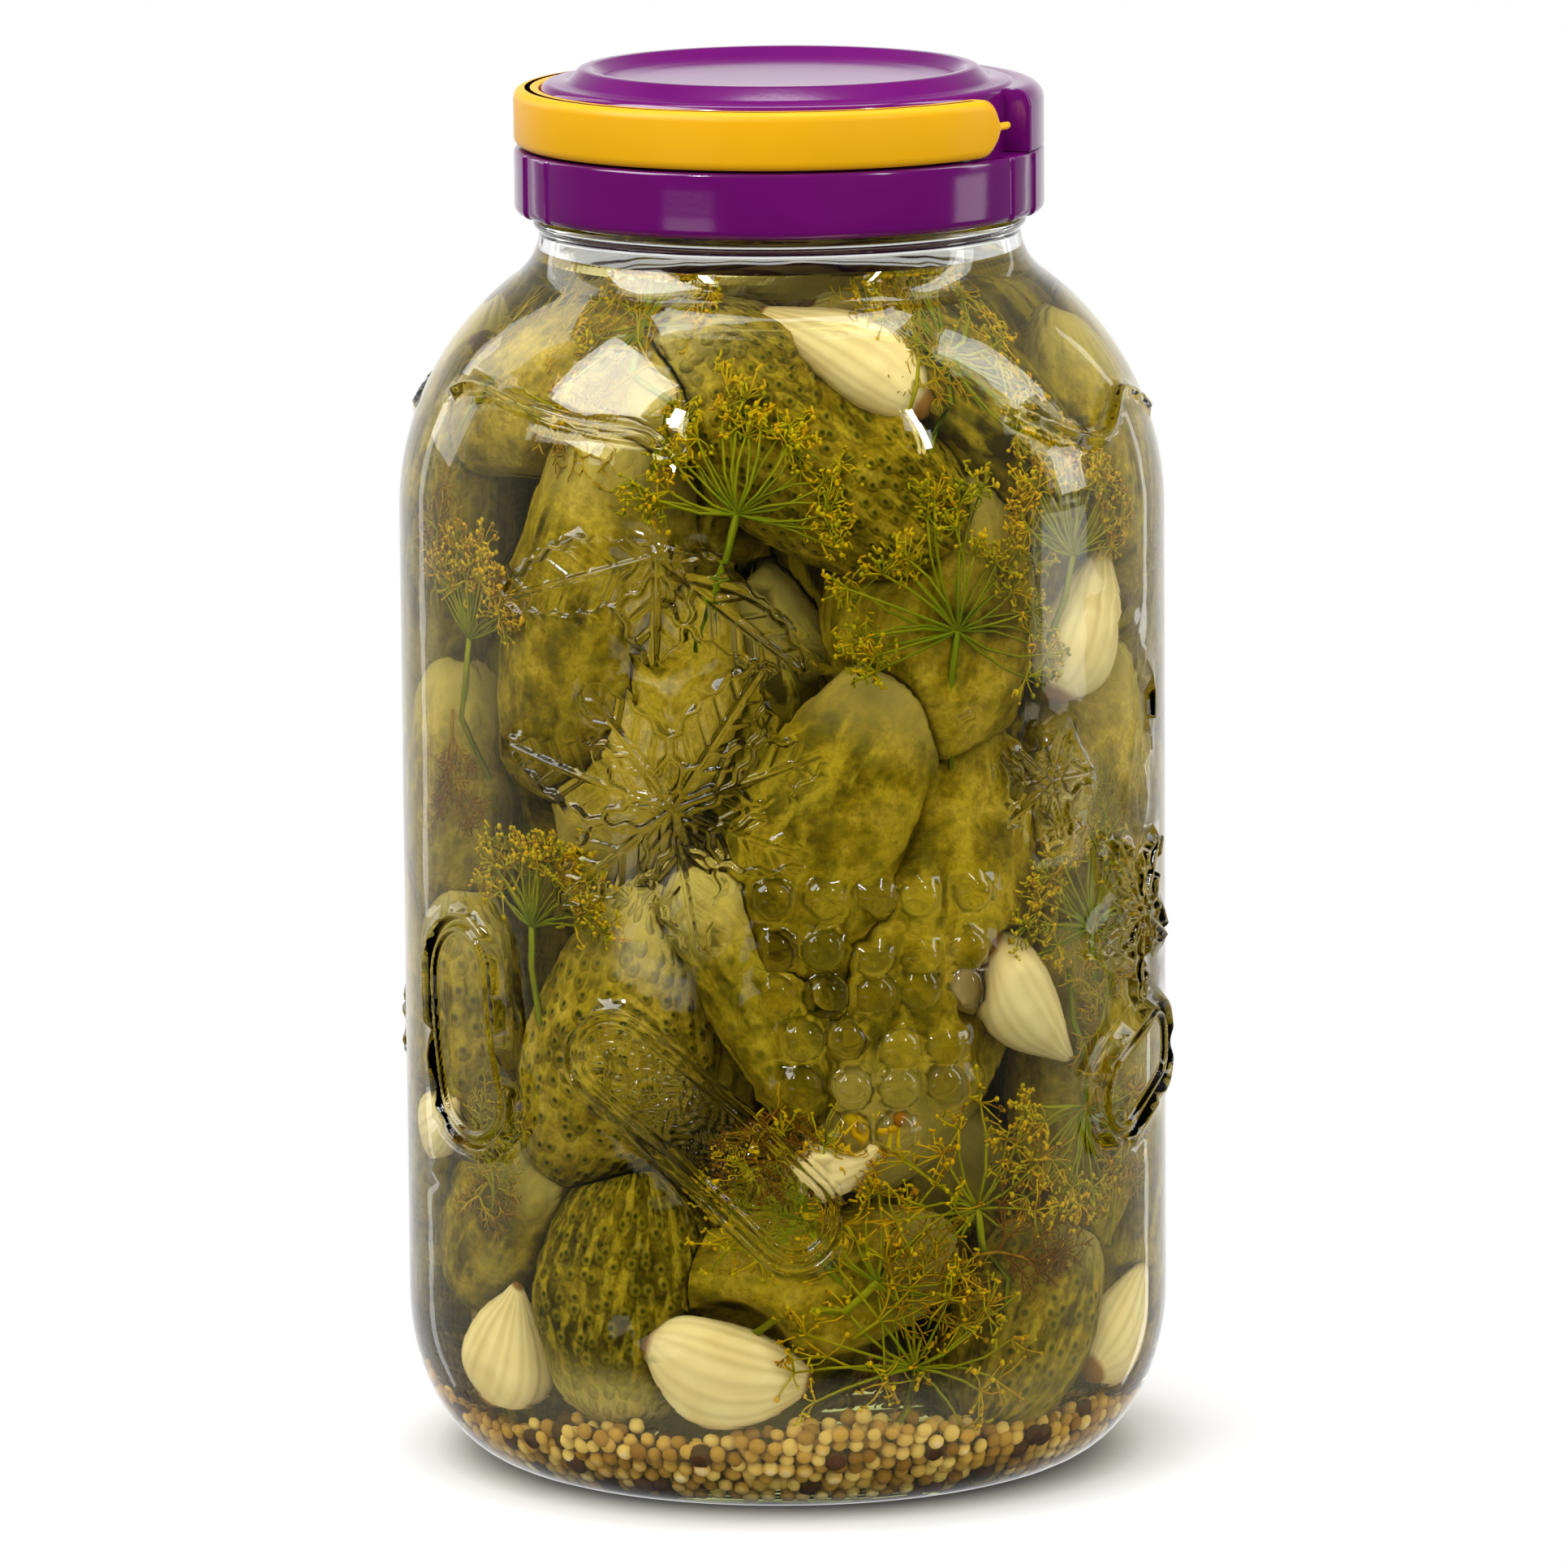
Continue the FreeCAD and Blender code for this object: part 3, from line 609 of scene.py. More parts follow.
def laid(points, azimuth, height, tilt, inset):
    """Moves a form whose length lies along x and whose face looks along z onto the wall."""
    t = math.radians(tilt)
    out = np.array(facing(azimuth))
    side = np.array([-out[1], out[0], 0])
    lean = float(wall_radius(height + 6) - wall_radius(height - 6)) / 12
    up = np.array([0, 0, 1]) + out * lean
    up /= np.linalg.norm(up)
    face = np.cross(side, up)
    along = side * math.cos(t) + up * math.sin(t)
    across = np.cross(face, along)
    centre = out * float(wall_radius(height)) + np.array([0, 0, height]) - face * inset
    return centre + points @ np.stack([along, across, face])


def waves(rng, a, b, count, reach):
    """A gentle sum of sines over two coordinates."""
    total = np.zeros(a.shape)
    for _ in range(count):
        p, q, s = rng.uniform(-reach, reach), rng.randint(-3, 3), rng.uniform(0, TAU)
        total += np.sin(p * a + q * b + s)
    return total / count


def sphere_grid(name, around_count, along_count):
    """A sphere to be drawn out, with each vertex's place along it from -1 to 1 and its angle round it."""
    clear_selection()
    bpy.ops.mesh.primitive_uv_sphere_add(segments=around_count, ring_count=along_count, radius=MM)
    piece = bpy.context.object
    piece.name = name
    piece.data.name = name
    unit = points_of(piece)
    unit = unit / np.linalg.norm(unit, axis=1)[:, None]
    piece.data.shade_smooth()
    return piece, unit[:, 2], np.arctan2(unit[:, 1], unit[:, 0])


def bent(points, spec):
    """Bends a gherkin's points, whose length lies along x, and lays them on the wall."""
    azimuth, height, tilt, length, width, bend, _, _, depth = spec
    curve = (points[:, 0] / (length / 2)) ** 2
    points[:, 1] += bend * curve
    points[:, 2] -= 0.10 * length * curve * abs(math.cos(math.radians(tilt)))
    return laid(points, azimuth, height, tilt, width / 2 + depth)


def gherkin_axis(spec, share):
    """Points on a gherkin's middle line, for shares of its length from -1 to 1."""
    length, width = spec[LENGTH], spec[WIDTH]
    x = np.asarray(share, dtype=float) * (length - width) / 2
    line = bent(np.stack([x, 0 * x, 0 * x], axis=1), spec)
    return pressed(line, 0.42 * width, PACK_TOP - width * 0.36)


def squeezed(points, number, specs, axes):
    """Draws a gherkin's points in towards its middle line wherever a neighbour needs the room."""
    own = specs[number]
    line = gherkin_axis(own, np.linspace(-1, 1, 25))
    nearest = np.argmin(((points[:, None, :] - line[None]) ** 2).sum(axis=2), axis=1)
    core = line[nearest]
    reach = np.linalg.norm(points - core, axis=1)
    middle = line[len(line) // 2]
    rivals = [k for k in range(len(specs)) if k != number
              and np.linalg.norm(axes[k][2] - middle) < (specs[k][LENGTH] + own[LENGTH]) / 2]
    low, high = np.full(len(points), 0.25), np.ones(len(points))

    def crowded(share):
        here = core + (points - core) * share[:, None]
        mine = reach * share - own[WIDTH] / 2
        found = np.zeros(len(points), dtype=bool)
        for k in rivals:
            away = np.full(len(points), 1e9)
            for a, b in zip(axes[k], axes[k][1:]):
                along = b - a
                t = np.clip(((here - a) @ along) / (along @ along), 0, 1)
                away = np.minimum(away, np.linalg.norm(here - a - t[:, None] * along, axis=1))
            found |= away - specs[k][WIDTH] / 2 < mine + 0.3
        return found

    tight = crowded(high)
    for _ in range(7):
        half = (low + high) / 2
        full = crowded(half)
        high = np.where(full, half, high)
        low = np.where(full, low, half)
    share = np.where(tight, low, 1)
    return core + (points - core) * share[:, None]


def gherkin(number, specs, axes):
    """A pickled gherkin: a blunt bar with ribs and lumps, pressed to the wall and its neighbours."""
    azimuth, _, _, length, width, _, tone, warts, _ = specs[number]
    rng = random.Random(100 + number)
    fine = warts > 20 and abs(azimuth) < 95
    piece, along, angle = sphere_grid(f"gherkin_{number:02d}", *((80, 110) if fine else (56, 72)))
    phi = np.arccos(np.clip(along, -1, 1))
    body = np.sin(phi) ** 0.82
    ribs = 0.035 * np.cos(3 * angle + rng.uniform(0, 6))
    body *= 1 - 0.06 * along + ribs + 0.05 * waves(rng, along * 3, angle, 6, 2.5)
    body += 0.02 * waves(rng, along * 9, angle * 2, 8, 4)
    radius = width / 2 * body
    x = np.cos(phi) * (1 - 0.10 * np.sin(phi) ** 2) * length / 2
    points = bent(np.stack([x, radius * np.cos(angle), radius * np.sin(angle)], axis=1), specs[number])
    points = squeezed(points, number, specs, axes)
    points = pressed(points, clearance(points))
    set_points(piece, points)
    pitch = min(9.0, 3.9 * math.sqrt(230 / max(warts, 20)))
    round_way = (angle - math.pi / 2 + math.pi) % TAU - math.pi
    attributes(piece, along=x / pitch + 3.7 * number, round=round_way * width / 2 / pitch,
               warty=min(1, 0.25 + warts / 200), tone=tone, scar=smoothstep(0.985, 0.992, np.abs(along)),
               tip=smoothstep(0.35, 0.95, along * (-1 if number % 3 == 0 else 1)))
    return piece


def garlic(number, spec):
    """A peeled clove or small bulb: a drop with a drawn-out neck, shallow lobes and a brown root end."""
    azimuth, height, tilt, length, width, lobes = spec
    rng = random.Random(300 + number)
    piece, along, angle = sphere_grid(f"garlic_{number:02d}", 48, 56)
    phi = np.arccos(np.clip(along, -1, 1))
    x = np.cos(phi)
    drawn = 0.25 if lobes == 1 else 1.0
    body = np.sin(phi) ** 1.15 * (1 - 0.34 * drawn * x)
    neck = drawn * smoothstep(0.55, 1.0, x)
    root = smoothstep(-0.90, -1.0, x)
    body = body * (1 - 0.5 * neck) + 0.10 * neck * np.sin(phi) ** 0.4 + 0.16 * root * np.sin(phi) ** 0.4
    furrow = np.abs(np.sin(lobes * angle / 2 + rng.uniform(0, 3))) ** 0.5
    body *= 0.88 + 0.12 * furrow + 0.05 * waves(rng, along * 3, angle, 5, 2)
    radius = width / 2 * body / 1.12
    x_mm = x * length / 2 + length * (0.08 * neck - 0.05 * root)
    points = np.stack([x_mm, radius * np.cos(angle), radius * np.sin(angle) * 0.9], axis=1)
    points[:, 1] += 0.12 * width * x ** 2
    points = laid(points, azimuth, height, tilt, width * 0.42)
    points = pressed(points, 0.6)
    set_points(piece, points)
    lines = np.sin(23 * angle + 2.5 * np.sin(4 * angle + number))
    streak = np.clip(0.1 + lines + 0.5 * along, 0, 1) * (1 - 0.5 * furrow)
    brown_ends = np.maximum(smoothstep(-0.90, -0.95, along), smoothstep(0.93, 0.975, along))
    attributes(piece, root=brown_ends, streak=streak)
    return piece


# ---------------------------------------------------------------- dill
class Heap:
    """Collects the points, faces and values of many small things for one mesh."""

    def __init__(self):
        self.points, self.faces, self.values = [], [], []
        self.total = 0

    def take(self, points, faces, values):
        self.points.append(points)
        self.faces += [[corner + self.total for corner in face] for face in faces]
        self.values.append(values)
        self.total += len(points)

    def piece(self, name, value_name):
        made = mesh_piece(name, np.concatenate(self.points), self.faces)
        attributes(made, **{value_name: np.clip(np.concatenate(self.values), 0, 1)})
        return made


class Threads(Heap):
    """Thin three-sided stalks."""

    def add(self, path, thick, thin, values):
        path = np.asarray(path)
        count = len(path)
        along = np.gradient(path, axis=0)
        along /= np.maximum(np.linalg.norm(along, axis=1), 1e-6)[:, None]
        ref = np.where(np.abs(along[:, 2:3]) > 0.9, [[1.0, 0, 0]], [[0, 0, 1.0]])
        first = np.cross(along, ref)
        first /= np.maximum(np.linalg.norm(first, axis=1), 1e-6)[:, None]
        second = np.cross(along, first)
        radius = np.linspace(thick, thin, count)[:, None]
        ring = [path + radius * (first * math.cos(turn) + second * math.sin(turn))
                for turn in (0, TAU / 3, 2 * TAU / 3)]
        faces = []
        for i in range(0, 3 * (count - 1), 3):
            faces += ring_faces(i, i + 3, 3)
        end = 3 * (count - 1)
        faces += [(2, 1, 0), (end, end + 1, end + 2)]
        self.take(np.stack(ring, axis=1).reshape(-1, 3), faces, np.repeat(values, 3))


class Beads(Heap):
    """Small round things."""

    def __init__(self, subdivisions):
        super().__init__()
        clear_selection()
        bpy.ops.mesh.primitive_ico_sphere_add(subdivisions=subdivisions, radius=1)
        ball = bpy.context.object
        self.ball = np.array([v.co for v in ball.data.vertices])
        self.ball_faces = [tuple(face.vertices) for face in ball.data.polygons]
        bpy.data.objects.remove(ball)

    def add(self, centre, size, value, tall=1):
        points = self.ball * size * np.array((1, 1, tall)) + centre
        self.take(points, self.ball_faces, np.full(len(points), value))


def wrapped(flat, azimuth, height):
    """Wraps points drawn flat (x to the right, y up, z into the jar) onto the inside of the wall."""
    flat = np.asarray(flat)
    z = np.clip(height + flat[:, 1], FLOOR + 4, BRINE_Z - 1.5)
    angle = math.radians(azimuth) + flat[:, 0] / WRAP_RADIUS
    return from_polar(angle, wall_radius(z) - np.clip(flat[:, 2], 0.5, 20), z)


def step_from(start, way, length, deeper):
    """The point that lies a length away in a direction counted from upwards to the right."""
    return np.array(start) + np.array([math.sin(way) * length, math.cos(way) * length, deeper])


def umbel(stalks, threads, florets, rng, spec):
    """A head of dill: rays from one point, each with a little umbrella of threads, curls and florets.

    Low heads have fewer rays and longer threads, and heads at the back have fewer rays.
    """
    azimuth, height, turn, size, spread, brown = spec
    low = height < 70
    rays = 16 if low or abs(azimuth) > 80 else 28
    tips, longest = ((6, 9), 8.5) if low else ((10, 14), 6.0)
    stem = [(0, 0, 3)] + [(rng.uniform(-sway, sway), drop, depth)
                          for sway, drop, depth in ((3, -9, 4), (5, -19, 6), (8, -30, 9))]
    swing = math.radians(turn)
    swung = [(x * math.cos(swing) + y * math.sin(swing), y * math.cos(swing) - x * math.sin(swing), d)
             for x, y, d in stem]
    stalks.add(wrapped(swung, azimuth, height), 1.0, 0.9, np.full(4, brown * 0.4))
    for k in range(rays):
        place = k / (rays - 1) - 0.5
        angle = math.radians(turn + place * 2 * spread + rng.uniform(-9, 9))
        reach = size * rng.uniform(0.60, 1.08) * (1 - 0.15 * abs(place))
        depth = rng.uniform(1.0, 4.6)
        bow = rng.uniform(-0.22, 0.22)
        path = [step_from((0, 0, 3), angle + bow * (1 - f) * 2, reach * f, (depth - 3) * f)
                for f in (0, 0.35, 0.7, 1.0)]
        browning = brown * 0.35 + 0.3 * np.array([0, 0.3, 0.7, 1.0])
        stalks.add(wrapped(path, azimuth, height), 0.42, 0.3, browning)
        end = path[-1]
        for _ in range(rng.randint(*tips)):
            way = angle + rng.gauss(0, 1.1)
            length = rng.uniform(2.0, longest)
            tip = step_from(end, way, length, rng.uniform(-2.2, 1.6))
            middle = (end + tip) / 2 + np.array([rng.uniform(-0.7, 0.7), rng.uniform(-0.7, 0.7), 0])
            value = min(1, brown * 0.55 + rng.uniform(-0.1, 0.5))
            threads.add(wrapped([end, middle, tip], azimuth, height), 0.24, 0.17, np.full(3, value))
            for _ in range(rng.randint(0, 2)):
                away = rng.uniform(0, TAU)
                curl = [tip]
                for step in (0.9, 1.7):
                    onward = away + step * rng.uniform(-0.9, 0.9)
                    curl.append(step_from(tip, onward, step, rng.uniform(-0.6, 0.6)))
                threads.add(wrapped(curl, azimuth, height), 0.28, 0.34, np.full(3, min(1, value + 0.15)))
            florets.add(wrapped([tip], azimuth, height)[0], rng.uniform(0.3, 0.68),
                        min(1, brown * 0.7 + rng.uniform(0, 0.5)), rng.uniform(0.6, 1.4))


def frond(stalks, rng, azimuth, height, turn, size, brown):
    """A spray of thread leaves that fork again and again."""
    def branch(start, angle, length, level):
        bend = rng.uniform(-0.5, 0.5)
        path = [np.array(start)]
        for f in (0.33, 0.66, 1.0):
            path.append(step_from(start, angle + bend * f, length * f, rng.uniform(-0.8, 0.8) * f))
            path[-1][2] = max(0.5, path[-1][2])
        thick = (0.55, 0.34, 0.24, 0.2)[level]
        stalks.add(wrapped(path, azimuth, height), thick, thick * 0.8, np.full(4, brown + 0.12 * level))
        if level < 3:
            for side in (-1, 1):
                for fork in path[1:]:
                    way = angle + side * rng.uniform(0.4, 0.9)
                    branch(fork, way, length * rng.uniform(0.4, 0.6), level + 1)
    branch((0, 0, 2.5), math.radians(turn), size, 0)


FRONDS = (
    # azimuth, height, direction, length, brownness
    (-53, 60, 20, 18, 0.25), (-50, 78, -160, 15, 0.55), (36, 240, -60, 20, 0.35), (22, 236, 40, 18, 0.45),
    (58, 118, 160, 20, 0.5), (60, 136, 10, 16, 0.2), (60, 52, 20, 20, 0.45), (56, 92, 10, 20, 0.3),
    (-20, 243, -80, 22, 0.5), (-52, 238, 100, 20, 0.45), (-65, 226, 10, 22, 0.3), (-62, 170, 180, 18, 0.9),
    (0, 96, 190, 16, 0.85), (30, 56, 80, 20, 0.9), (10, 40, 60, 20, 0.5), (-66, 190, -20, 18, 0.5),
    (75, 180, 20, 22, 0.4), (90, 90, 0, 22, 0.5), (-90, 120, 10, 22, 0.5), (180, 150, 10, 24, 0.4),
    (130, 130, 30, 24, 0.5), (230, 170, 10, 24, 0.4), (150, 30, 10, 20, 0.4), (-100, 60, 10, 20, 0.4),
)


def dill():
    """All the heads and sprays, as three pieces."""
    rng = random.Random(41)
    stalks, threads, florets = Threads(), Threads(), Beads(1)
    for spec in UMBELS:
        umbel(stalks, threads, florets, rng, spec)
    for spec in FRONDS:
        frond(stalks, rng, *spec)
    return [heap.piece(name, "brown") for name, heap in (
        ("dill_stalks", stalks), ("dill_threads", threads), ("dill_florets", florets))]


# ---------------------------------------------------------------- seeds
def seeds():
    """Coriander and allspice along the heel of the jar, in three layers against the glass."""
    rng = random.Random(77)
    pale, dark = Beads(2), Beads(2)
    pitch = 3.5
    for layer in range(3):
        inset = 2.0 + layer * 3.1
        z = FLOOR + 1.9 + layer * 1.3
        while z < HEAP_TOP:
            radius = float(wall_radius(z)) - inset
            steps = max(1, int(TAU * radius / pitch))
            shift = rng.uniform(0, 1)
            for k in range(steps):
                a = (k + shift + rng.uniform(-0.14, 0.14)) * TAU / steps
                top = 17.5 + 2.2 * math.sin(3 * a + 1.0) + 1.6 * math.sin(7 * a) + layer * 1.0
                if z > top or rng.random() < 0.03:
                    continue
                r = radius + rng.uniform(-0.7, 0.3)
                centre = (r * math.sin(a), -r * math.cos(a), z + rng.uniform(-0.8, 0.8))
                if rng.random() < 0.09:
                    dark.add(centre, rng.uniform(2.2, 2.8), rng.random())
                else:
                    pale.add(centre, rng.uniform(1.5, 1.95), rng.random(), rng.uniform(0.9, 1.05))
            slope = abs(float(wall_radius(z + 1) - wall_radius(z)))
            z += pitch * 0.86 / math.hypot(1, slope)
    return pale.piece("coriander_seeds", "shade"), dark.piece("allspice_berries", "shade")


# ---------------------------------------------------------------- lid
def cylinder(centre, way, radius, depth, sides):
    """A cylinder whose length lies along a direction."""
    clear_selection()
    bpy.ops.mesh.primitive_cylinder_add(vertices=sides, radius=radius * MM, depth=depth * MM,
                                        location=centre * MM, rotation=way.to_track_quat("Z", "Y").to_euler())
    return bpy.context.object


def groove(piece, azimuth):
    """Cuts the slot in the skirt's top through which the handle's nub swings."""
    out = Vector(facing(azimuth))
    cutter = cylinder(out * NUB_OUT + Vector((0, 0, PIVOT_Z)), out, HANDLE_HALF + NUB_ROOM, 2.2, 64)
    cut = piece.modifiers.new("groove", "BOOLEAN")
    cut.object = cutter
    cut.operation = "DIFFERENCE"
    apply_modifiers(piece)
    bpy.data.objects.remove(cutter)


def skirt():
    """The grip skirt and its sealing plate. Smooth panels lie a little under the grips."""
    lip = arc_points(LID_RADIUS - 2.0, SKIRT_Z + 2.0, 2.0, -90, 0, 7)
    top = arc_points(LID_RADIUS - 0.9, SEAM_Z - 0.9, 0.9, 0, 90, 5)
    inside = LID_RADIUS - SKIRT_WALL
    profile = [(r, SEAM_Z) for r in (0, 20, 40, 50.5)] + top[::-1]
    profile += [(LID_RADIUS, z) for z in (SEAM_Z - 4, SKIRT_Z + 5)] + lip[::-1]
    profile += [(inside, SKIRT_Z), (inside, PLATE_Z - 0.4)] + [(r, PLATE_Z) for r in (inside - 3, 20, 0)]
    piece = spun("grip_skirt", profile, 720)
    points = points_of(piece)
    angle, radius = polar(points)
    side = np.abs(90 - np.abs(np.degrees(angle)))
    sunk = smoothstep(16.0, 16.6, side) * smoothstep(26.0, 25.4, side) + smoothstep(28.6, 29.2, side)
    outer = smoothstep(LID_RADIUS - 2.5, LID_RADIUS - 1.5, radius)
    points[:, :2] *= ((radius - 0.6 * sunk * outer) / np.maximum(radius, 1e-6))[:, None]
    set_points(piece, points)
    groove(piece, PIVOT)
    groove(piece, PIVOT - 180)
    return piece


def cover_disc():
    """The round top: raised ring with bevelled slopes, sunk middle, flat flange and soft edge."""
    top = [(r, CREST_Z - 2.0 - 0.5 * (1 - (r / 38) ** 2)) for r in (0, 8, 16, 24, 31, 37.9)]
    top += [(38.3, CREST_Z - 1.9), (40.2, CREST_Z - 0.15), (40.8, CREST_Z)]
    top += [(42.4, CREST_Z), (43.1, CREST_Z - 0.25), (45.4, FLANGE_Z + 0.35), (46.2, FLANGE_Z)]
    edge = arc_points(COVER_RADIUS - 2.0, FLANGE_Z - 2.0, 2.0, 90, 0, 8)
    wall = [(COVER_RADIUS, SEAM_Z + 6), (COVER_RADIUS, SEAM_Z), (COVER_RADIUS - 2.2, SEAM_Z)]
    under = [(COVER_RADIUS - 2.2, FLANGE_Z - 2.2), (20, FLANGE_Z - 1.4), (0, FLANGE_Z - 1.4)]
    return spun("cover_disc", top + edge + wall + under, 256)


def half_ring():
    """The fixed half ring at the back right, with a soft outer edge and closed ends."""
    low, top = SEAM_Z + 0.05, FLANGE_Z - 0.4
    round_edge = arc_points(LID_RADIUS - 3.8, top - 3.8, 3.8, 0, 90, 10)
    corner = (COVER_RADIUS - 1.5, low)
    profile = [corner, (LID_RADIUS - 0.3, low), (LID_RADIUS, SEAM_Z + 0.35), (LID_RADIUS, SEAM_Z + 5)]
    profile += round_edge + [(COVER_RADIUS - 1.9, top), corner]
    piece = spun("half_ring", profile, 120, start=PIVOT + 17, sweep=146)
    edit(piece, "DESELECT")
    bpy.ops.mesh.select_mode(type="EDGE")
    bpy.ops.mesh.select_non_manifold()
    bpy.ops.mesh.edge_face_add()
    bpy.ops.mesh.select_all(action="SELECT")
    bpy.ops.mesh.normals_make_consistent(inside=False)
    bpy.ops.object.mode_set(mode="OBJECT")
    bevel(piece, 0.35, 2)
    return piece


def bar(name, radius, thick, half_length, edge, middle):
    """A flat bar with round ends, bent round the jar's axis. Its sections are rounded rectangles."""
    flat = list(np.linspace(-half_length, half_length, 97))
    end_turns = np.radians((12, 24, 36, 48, 58, 67, 75, 82, 87, 89.3))
    ends = [half_length + HANDLE_HALF * math.sin(a) for a in end_turns]
    stations = [-x for x in reversed(ends)] + flat + ends
    rings = []
    for x in stations:
        past = max(0, abs(x) - half_length)
        high = math.sqrt(max(HANDLE_HALF ** 2 - past ** 2, 0.0004))
        soft = min(edge, high * 0.98)
        corner = ((high - soft, thick - edge, 0), (-(high - soft), thick - edge, 90),
                  (-(high - soft), edge, 180), (high - soft, edge, 270))
        ring = []
        for z, depth, turn in corner:
            for step in range(5):
                a = math.radians(turn + 22.5 * step)
                ring.append((depth + edge * math.sin(a), z + soft * math.cos(a)))
        a = math.radians(middle) + x / radius
        rings.append([((radius - d) * math.sin(a), -(radius - d) * math.cos(a), PIVOT_Z + z)
                      for d, z in ring])
    count = len(rings[0])
    last = (len(rings) - 1) * count
    faces = []
    for first in range(0, last, count):
        faces += ring_faces(first, first + count, count)
    faces += [tuple(range(count))[::-1], tuple(range(last, last + count))]
    piece = mesh_piece(name, np.array(rings).reshape(-1, 3), faces)
    outward(piece)
    return piece


def carry_handle():
    """An inner bar that ends in the knuckles, an outer skin that ends a little short, pins and nubs."""
    inside = LID_RADIUS - 1.9
    parts = []
    for name, radius, thick, short, edge in (("handle_bar", inside, HANDLE_THICK - 1.2, 1.2, 0.5),
                                             ("handle_skin", LID_RADIUS, HANDLE_THICK + 0.8, 3.2, 2.0)):
        parts.append(bar(name, radius, thick, radius * math.pi / 2 - short, edge, PIVOT - 90))
    skin = parts[-1]
    for azimuth, away in ((PIVOT, 1), (PIVOT - 180, -1)):
        out, along = Vector(facing(azimuth)), Vector(facing(azimuth + 90)) * away
        for reach, beyond, radius, depth, way in (
                (PIN_OUT, 0, 2.4, 6.0, out),
                (NUB_OUT, 5.9, 0.75, 5.2, along),
                (LID_RADIUS - 0.85, 4.4, 0.6, 3.2, along)):
            pin = cylinder(out * reach + along * beyond + Vector((0, 0, PIVOT_Z)), way, radius, depth, 24)
            bevel(pin, radius * 0.45, 3)
            parts.append(pin)
    clear_selection()
    for part in parts:
        part.select_set(True)
    bpy.context.view_layer.objects.active = skin
    bpy.ops.object.join()
    skin.name = "carry_handle"
    only(skin)
    bpy.ops.object.transform_apply(location=True, rotation=True, scale=True)
    return skin


# ---------------------------------------------------------------- materials
SUNK_IOR = 1.12             # a wet surface hardly shines inside the brine


class Shading:
    """The nodes of a material or a world. Inputs take another node's output, a number or a colour."""

    def __init__(self, owner):
        self.owner = owner
        owner.use_nodes = True
        self.tree = owner.node_tree
        self.tree.nodes.clear()

    def node(self, kind, inputs, **settings):
        made = self.tree.nodes.new("ShaderNode" + kind)
        for key, value in settings.items():
            setattr(made, key, value)
        for key, value in inputs.items():
            socket = made.inputs[key]
            if isinstance(value, bpy.types.NodeSocket):
                self.tree.links.new(value, socket)
            else:
                socket.default_value = (*value, 1) if socket.type == "RGBA" else value
        return made.outputs

    def place(self, kind="Object"):
        return self.node("TexCoord", {})[kind]

    def noise(self, scale, detail, rough=0.5):
        inputs = {"Scale": scale, "Detail": detail, "Roughness": rough, "Vector": self.place()}
        return self.node("TexNoise", inputs)["Fac"]

    def read(self, name):
        """The number that a piece stores for each of its vertices."""
        return self.node("Attribute", {}, attribute_name=name)["Fac"]

    def ramp(self, source, *stops):
        """Colours by value. A stop's colour may be one number, for a grey."""
        outputs = self.node("ValToRGB", {"Fac": source})
        elements = outputs["Color"].node.color_ramp.elements
        while len(elements) < len(stops):
            elements.new(0.5)
        for element, (place, colour) in zip(elements, stops):
            element.position = place
            element.color = (*np.broadcast_to(colour, 3).tolist(), 1)
        return outputs["Color"]

    def mix(self, factor, first, second, mode="MIX"):
        """Mixes two colours."""
        return self.node("Mix", {0: factor, 6: first, 7: second}, data_type="RGBA", blend_type=mode)[2]

    def maths(self, operation, first, second):
        return self.node("Math", {0: first, 1: second, 2: 0.5}, operation=operation)["Value"]

    def times(self, first, second):
        return self.maths("MULTIPLY", first, second)

    def bump(self, height, strength, distance, **below):
        inputs = {"Strength": strength, "Distance": distance, "Height": height, **below}
        return self.node("Bump", inputs)["Normal"]

    def blend(self, factor, first, second):
        """Mixes two shaders."""
        return self.node("MixShader", {0: factor, 1: first, 2: second})["Shader"]

    def surface(self, colour, normal, roughness, ior, more=()):
        inputs = {"Base Color": colour, "Normal": normal, "Roughness": roughness, "IOR": ior, **dict(more)}
        return self.node("BsdfPrincipled", inputs)["BSDF"]

    def done(self, shader):
        self.node("OutputMaterial", {"Surface": shader})
        return self.owner


def material(name):
    return Shading(bpy.data.materials.new(name))


def clear_material(name, colour, foot, ior, shadow, ripple):
    """A clear thing, with painted shade darkening it where its moulded slope is steep. Lamps and soft light
    reach what is inside it.
    """
    clear = material(name)
    height = clear.node("SeparateXYZ", {"Vector": clear.place()})["Z"]
    tint = clear.ramp(height, (0.002, foot), (0.010, colour))
    # painted shade: the steeper the moulded slope, the darker grey the glass's colour
    side = clear.ramp(clear.read("slope"), (0.25, 1.0), (0.55, (0.22, 0.22, 0.16)))
    shaded = clear.mix(1.0, tint, side, "MULTIPLY")
    wave = clear.bump(clear.noise(55, 2), ripple, 0.0015)
    shader = clear.surface(shaded, wave, 0.0, ior, {"Transmission Weight": 1.0})
    through = clear.node("BsdfTransparent", {"Color": shadow})["BSDF"]
    path = clear.node("LightPath", {})
    soft = clear.maths("MAXIMUM", path["Is Shadow Ray"], path["Is Diffuse Ray"])
    return clear.done(clear.blend(soft, shader, through))


